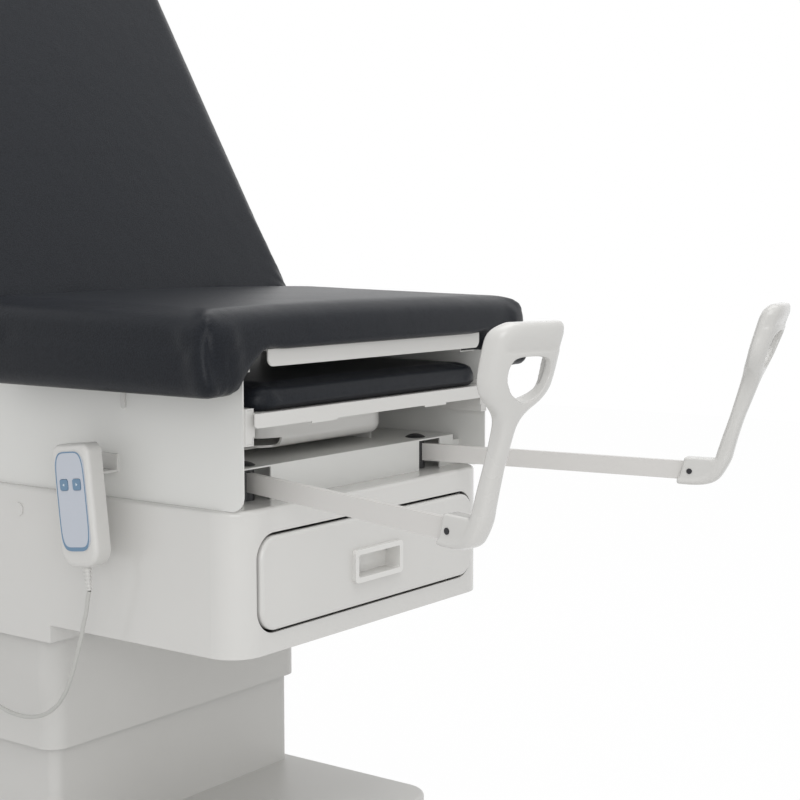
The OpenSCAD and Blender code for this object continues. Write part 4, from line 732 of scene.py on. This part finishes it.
# Root below the clamp, in millimetres and degrees: outward, up, climb, half thickness, half width
ROOT = [(-17, -14.4, 0, 4.6, 12.5), (6, -14.3, 0, 4.7, 12.5), (22, -10.5, 32, 6.6, 12.8),
        (32.5, -2.8, 55, 8.6, 13)]
# Stem and paddle, in millimetres: height, outward place, half depth, half width, place across
PADDLE = [
    (15, 42, 10.8, 12.5, 0), (30, 46.3, 10.8, 11.5, 0), (50, 51.7, 10.3, 11.3, 0),
    (75, 59.3, 10, 10.4, 0), (95, 65.7, 10.9, 9.8, 0), (115, 72, 11.8, 10.2, 0),
    (122, 74.2, 12.1, 11.6, 0.3), (130, 76.9, 12.4, 16, 0.6), (137, 79.4, 12.9, 23.5, 1.6),
    (144, 82.1, 13.2, 33.2, 3.2), (151.9, 84.8, 13.6, 41.2, 3), (159.5, 87.2, 14.2, 45.5, 2.2),
    (169, 89.9, 15, 48, 1), (188, 95.8, 16.2, 48.5, 0), (207.1, 101.3, 16.5, 48.5, 0),
    (216.6, 104.6, 15.3, 47.6, 0.6), (223.2, 108, 12.6, 43.5, 2.4), (228, 110.8, 8.5, 36, 4.5)]
# Cup in the back of the paddle, written the same way
CUP = [
    (148, 68, 4, 30, 3.4), (155.7, 75, 9, 35, 2.6), (165.2, 80, 14, 39.5, 1.4),
    (188, 87.2, 15.3, 41, 0), (207.1, 93.2, 15.1, 41, 0), (217.5, 96.5, 12.5, 38, 1)]
# Outline of the opening seen from its front, across and up, in millimetres
OPENING = [
    (-22.1, 166.3), (-25.4, 177.4), (-24.2, 185.9), (-19.6, 191.1), (-6.1, 192.8), (12, 192.5),
    (24.2, 190), (30.7, 185.3), (33.9, 177.2), (32.7, 168.3), (29.8, 158.8), (23.6, 150.2),
    (12.7, 145.1), (3.2, 145.5), (-7.4, 151), (-16.7, 158.1)]
# Side view of the clamp, along the arm and up, in millimetres
CLAMP = [(16, -17), (7.5, 18.3), (-33, 18.3), (-33, -4.25), (-19.8, -12.75), (0, -17)]
CLAMP_HALF = 0.011


def between(rows):
    """Rows of numbers with smooth in-between rows added."""
    full = []
    for i in range(len(rows) - 1):
        a, b, c, d = (rows[max(i - 1, 0)], rows[i], rows[i + 1], rows[min(i + 2, len(rows) - 1)])
        for k in range(STEPS_BETWEEN):
            t = k / STEPS_BETWEEN
            full.append(tuple(
                0.5 * (2 * q + (r - p) * t + (2 * p - 5 * q + 4 * r - s) * t ** 2
                       + (3 * q - p - 3 * r + s) * t ** 3)
                for p, q, r, s in zip(a, b, c, d)))
    return full + [tuple(rows[-1])]


def level_rows(levels):
    """Each level as centre, half width, half depth direction and flare, in metres."""
    return [(across / 1000, -out / 1000, up / 1000, wide / 1000, 0, -deep / 1000, 0,
             FLARE * ramp(up, FLARE_FROM, FLARE_TO)) for up, out, deep, wide, across in levels]


def root_rows():
    """The root's sections, which turn with its climb."""
    rows = []
    for out, up, climb, deep, wide in ROOT:
        turn = math.radians(climb)
        rows.append((0, -out / 1000, up / 1000, wide / 1000, 0, -math.sin(turn) * deep / 1000,
                     -math.cos(turn) * deep / 1000, 0))
    return rows


body_sections = between(root_rows() + level_rows(PADDLE))
cup_sections = between(level_rows(CUP))
print("sections per heel rest:", len(body_sections), "and its cup:", len(cup_sections))

# %% Heel rest moulding
SQUARENESS = 0.62
LOOP_POINTS = 32
HEEL_GRID = 0.0015
THROUGH_OPENING = (0, -0.2, 0)


def eased(value):
    """A circle's coordinate pushed out, which turns the circle into a rounded square."""
    return math.copysign(abs(value) ** SQUARENESS, value)


def to_object(mesh, name):
    """A new object from a bmesh, which is freed."""
    data = bpy.data.meshes.new(name)
    mesh.to_mesh(data)
    mesh.free()
    return add_piece(name, data)


def bridged(sections, name):
    """Closed loops, one per section, bridged into one body that is closed at both ends."""
    mesh = bmesh.new()
    loops = []
    for i, (x, y, z, wide, vx, vy, vz, flare) in enumerate(sections):
        made = bmesh.ops.create_circle(mesh, cap_ends=i in (0, len(sections) - 1),
                                       segments=LOOP_POINTS, radius=1)["verts"]
        for vertex in made:
            angle = math.atan2(vertex.co.y, vertex.co.x)
            side, face = eased(math.cos(angle)), eased(math.sin(angle))
            vertex.co = (Vector((x + side * (wide - flare * face), y, z))
                         + face * Vector((vx, vy, vz)))
        loops.append(made)
    for first, second in zip(loops, loops[1:]):
        edges = [e for loop in (first, second) for e in
                 {e for v in loop for e in v.link_edges
                  if all(w in set(loop) for w in e.verts) and len(e.link_faces) < 2}]
        bmesh.ops.bridge_loops(mesh, edges=edges)
    bmesh.ops.recalc_face_normals(mesh, faces=mesh.faces)
    return to_object(mesh, name)


def prism(name, outline, place, push):
    """An outline's corners put in place, closed with a face and pushed out by a vector."""
    mesh = bmesh.new()
    face = mesh.faces.new([mesh.verts.new(place(a / 1000, b / 1000)) for a, b in outline])
    far = bmesh.ops.extrude_face_region(mesh, geom=[face])["geom"]
    bmesh.ops.translate(mesh, vec=push, verts=[g for g in far if isinstance(g, bmesh.types.BMVert)])
    bmesh.ops.recalc_face_normals(mesh, faces=mesh.faces)
    return to_object(mesh, name)


def combine(piece, other, operation):
    """Joins another object to a piece, or cuts it out, and removes it."""
    join = piece.modifiers.new("join", "BOOLEAN")
    join.operation, join.object, join.solver = operation, other, "EXACT"
    settle(piece)
    bpy.data.objects.remove(other)


def heel_moulding():
    """One heel rest in the frame of its screw: -Y runs out along the arm."""
    piece = bridged(body_sections, "heel_moulding")
    combine(piece, prism("clamp", CLAMP, lambda a, b: (-CLAMP_HALF, a, b), (2 * CLAMP_HALF, 0, 0)),
            "UNION")
    combine(piece, bridged(cup_sections, "cup"), "DIFFERENCE")
    outline = between([OPENING[-1]] + OPENING + [OPENING[0]])[STEPS_BETWEEN:-STEPS_BETWEEN - 1]
    combine(piece, prism("opening", outline, lambda a, b: (a, 0, b), THROUGH_OPENING),
            "DIFFERENCE")
    even_mesh(piece, HEEL_GRID)
    even_out(piece, 6)
    return piece


heel = heel_moulding()
print("heel moulding faces:", len(heel.data.polygons))

# %% Paddle face
LEDGE_DEPTH, LEDGE_FOOT, LEDGE_LIP, LEDGE_TOP = 0.0034, 0.1962, 0.1992, 0.216
LEDGE_START, LEDGE_END, LEDGE_FADE = (-0.040, -0.024), (0.030, 0.044), 0.8
TURNED_AWAY = -0.25


def ledge(place, normal):
    """A shallow scoop across the paddle's front that ends in a lip just above the opening."""
    if normal.y > TURNED_AWAY or place.z < LEDGE_FOOT:
        return 0.0
    across_face = ramp(place.x, *LEDGE_START) * (1 - LEDGE_FADE * ramp(place.x, *LEDGE_END))
    height = ramp(place.z, LEDGE_FOOT, LEDGE_LIP) * (1 - ramp(place.z, LEDGE_LIP, LEDGE_TOP))
    return LEDGE_DEPTH * across_face * height


press(heel, ledge)
even_out(heel, 2)


def place_heel(side, name, body, node):
    """Copies the moulding to one arm. The right one is its mirror image."""
    mesh = bmesh.new()
    mesh.from_mesh(heel.data)
    if side > 0:
        bmesh.ops.scale(mesh, vec=(-1, 1, 1), verts=mesh.verts)
        bmesh.ops.reverse_faces(mesh, faces=mesh.faces)
    pose = (Matrix.Translation((side * PIVOT.x, PIVOT.y, PIVOT.z))
            @ Matrix.Rotation(side * ARM_SPLAY, 4, "Z") @ Matrix.Rotation(ARM_DROOP, 4, "X")
            @ Matrix.Translation((0, -ARM_REACH, 0)))
    bmesh.ops.transform(mesh, matrix=pose, verts=mesh.verts)
    piece = show_smooth(to_object(mesh, name))
    paint(piece, "moulded_white")
    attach(piece, body)
    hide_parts(node)
    return piece


for side, word in ((-1, "left"), (1, "right")):
    made = place_heel(side, "heel_moulding_" + word, "arm_" + word, "heel_rest_" + word)
    print(made.name, "spans", [round(v, 3) for v in made.dimensions])
bpy.data.objects.remove(heel)

# %% [markdown]
# ## Hand control
# The hand control has a film on its face with a printed blue border that swells into a crescent at
# the foot, and two square keys with a small arrow each. The border is a rounded loop: a circle's
# points are pushed out to the film's outline and an inner loop is set in from it.

# %% Border and arrows
HAND_PLACE = Vector((-0.313, -0.319, 0.5655))
HAND_TILT = math.radians(-6.5)
in_hand = Matrix.Translation(HAND_PLACE) @ Matrix.Rotation(HAND_TILT, 4, "X")
FILM_HALF = (0.026, 0.0625)
FILM_RISE, FILM_SQUARENESS = 0.006, 5.0
SHELL_FACE, FILM_THICKNESS = -0.0125, 0.0012
FILM_X = SHELL_FACE - FILM_THICKNESS
BORDER_OUTER, BORDER_INNER, BORDER_POINTS = 0.0003, 0.0018, 96
CRESCENT, CRESCENT_SPAN = 0.055, (0.2, 1.0)
PRINT_THICKNESS, PRINT_PROUD = 0.0002, 0.00012


def rounded(angle, half_wide, half_long):
    """Point of a rounded rectangle's outline in the direction of an angle."""
    x, y = math.cos(angle), math.sin(angle)
    scale = (abs(x) ** FILM_SQUARENESS + abs(y) ** FILM_SQUARENESS) ** (-1 / FILM_SQUARENESS)
    return half_wide * x * scale, half_long * y * scale


def printed(piece, finish_name):
    """Gives a flat print its thickness and its finish."""
    thick = piece.modifiers.new("print_thickness", "SOLIDIFY")
    thick.thickness, thick.offset = PRINT_THICKNESS, 0
    settle(piece)
    paint(piece, finish_name)
    return piece


def film_border():
    """A thin printed ring on the film, wider at its foot."""
    mesh = bmesh.new()
    for inset in (BORDER_OUTER, BORDER_INNER):
        verts = bmesh.ops.create_circle(mesh, segments=BORDER_POINTS, radius=1)["verts"]
        for vertex in verts:
            angle = math.atan2(vertex.co.y, vertex.co.x)
            wide, long = rounded(angle, FILM_HALF[0] - inset, FILM_HALF[1] - inset)
            if inset == BORDER_INNER and long < 0:
                long *= 1 - CRESCENT * ramp(-math.sin(angle), *CRESCENT_SPAN)
            vertex.co = (FILM_X - PRINT_PROUD, wide, long + FILM_RISE)
    bmesh.ops.bridge_loops(mesh, edges=mesh.edges[:])
    bmesh.ops.recalc_face_normals(mesh, faces=mesh.faces)
    bmesh.ops.transform(mesh, matrix=in_hand, verts=mesh.verts)
    return to_object(mesh, "film_border")


border = printed(film_border(), "control_blue")
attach(border, "table")

KEY_X, KEY_RISE, KEY_PROUD = 0.0115, 0.027, 0.0008
ARROW_RADIUS = 0.0022


def key_arrow(name, sign, body):
    """A small raised triangle in the middle of a key that points up or down."""
    mesh = bmesh.new()
    made = bmesh.ops.create_circle(mesh, cap_ends=True, segments=3, radius=ARROW_RADIUS)["verts"]
    turn = Matrix.Rotation(math.radians(90 if sign > 0 else -90), 4, "Z")
    bmesh.ops.transform(mesh, matrix=turn, verts=made)
    for vertex in mesh.verts:
        across_key, up_key = vertex.co.x, vertex.co.y
        vertex.co = (FILM_X - KEY_PROUD - PRINT_PROUD, -sign * KEY_X + across_key,
                     KEY_RISE + up_key)
    bmesh.ops.recalc_face_normals(mesh, faces=mesh.faces)
    bmesh.ops.transform(mesh, matrix=in_hand, verts=mesh.verts)
    piece = printed(to_object(mesh, name), "control_mark")
    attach(piece, body)
    return piece


for name, sign, body in (("arrow_up", 1, "key_up"), ("arrow_down", -1, "key_down")):
    print(key_arrow(name, sign, body).name, "on", body)
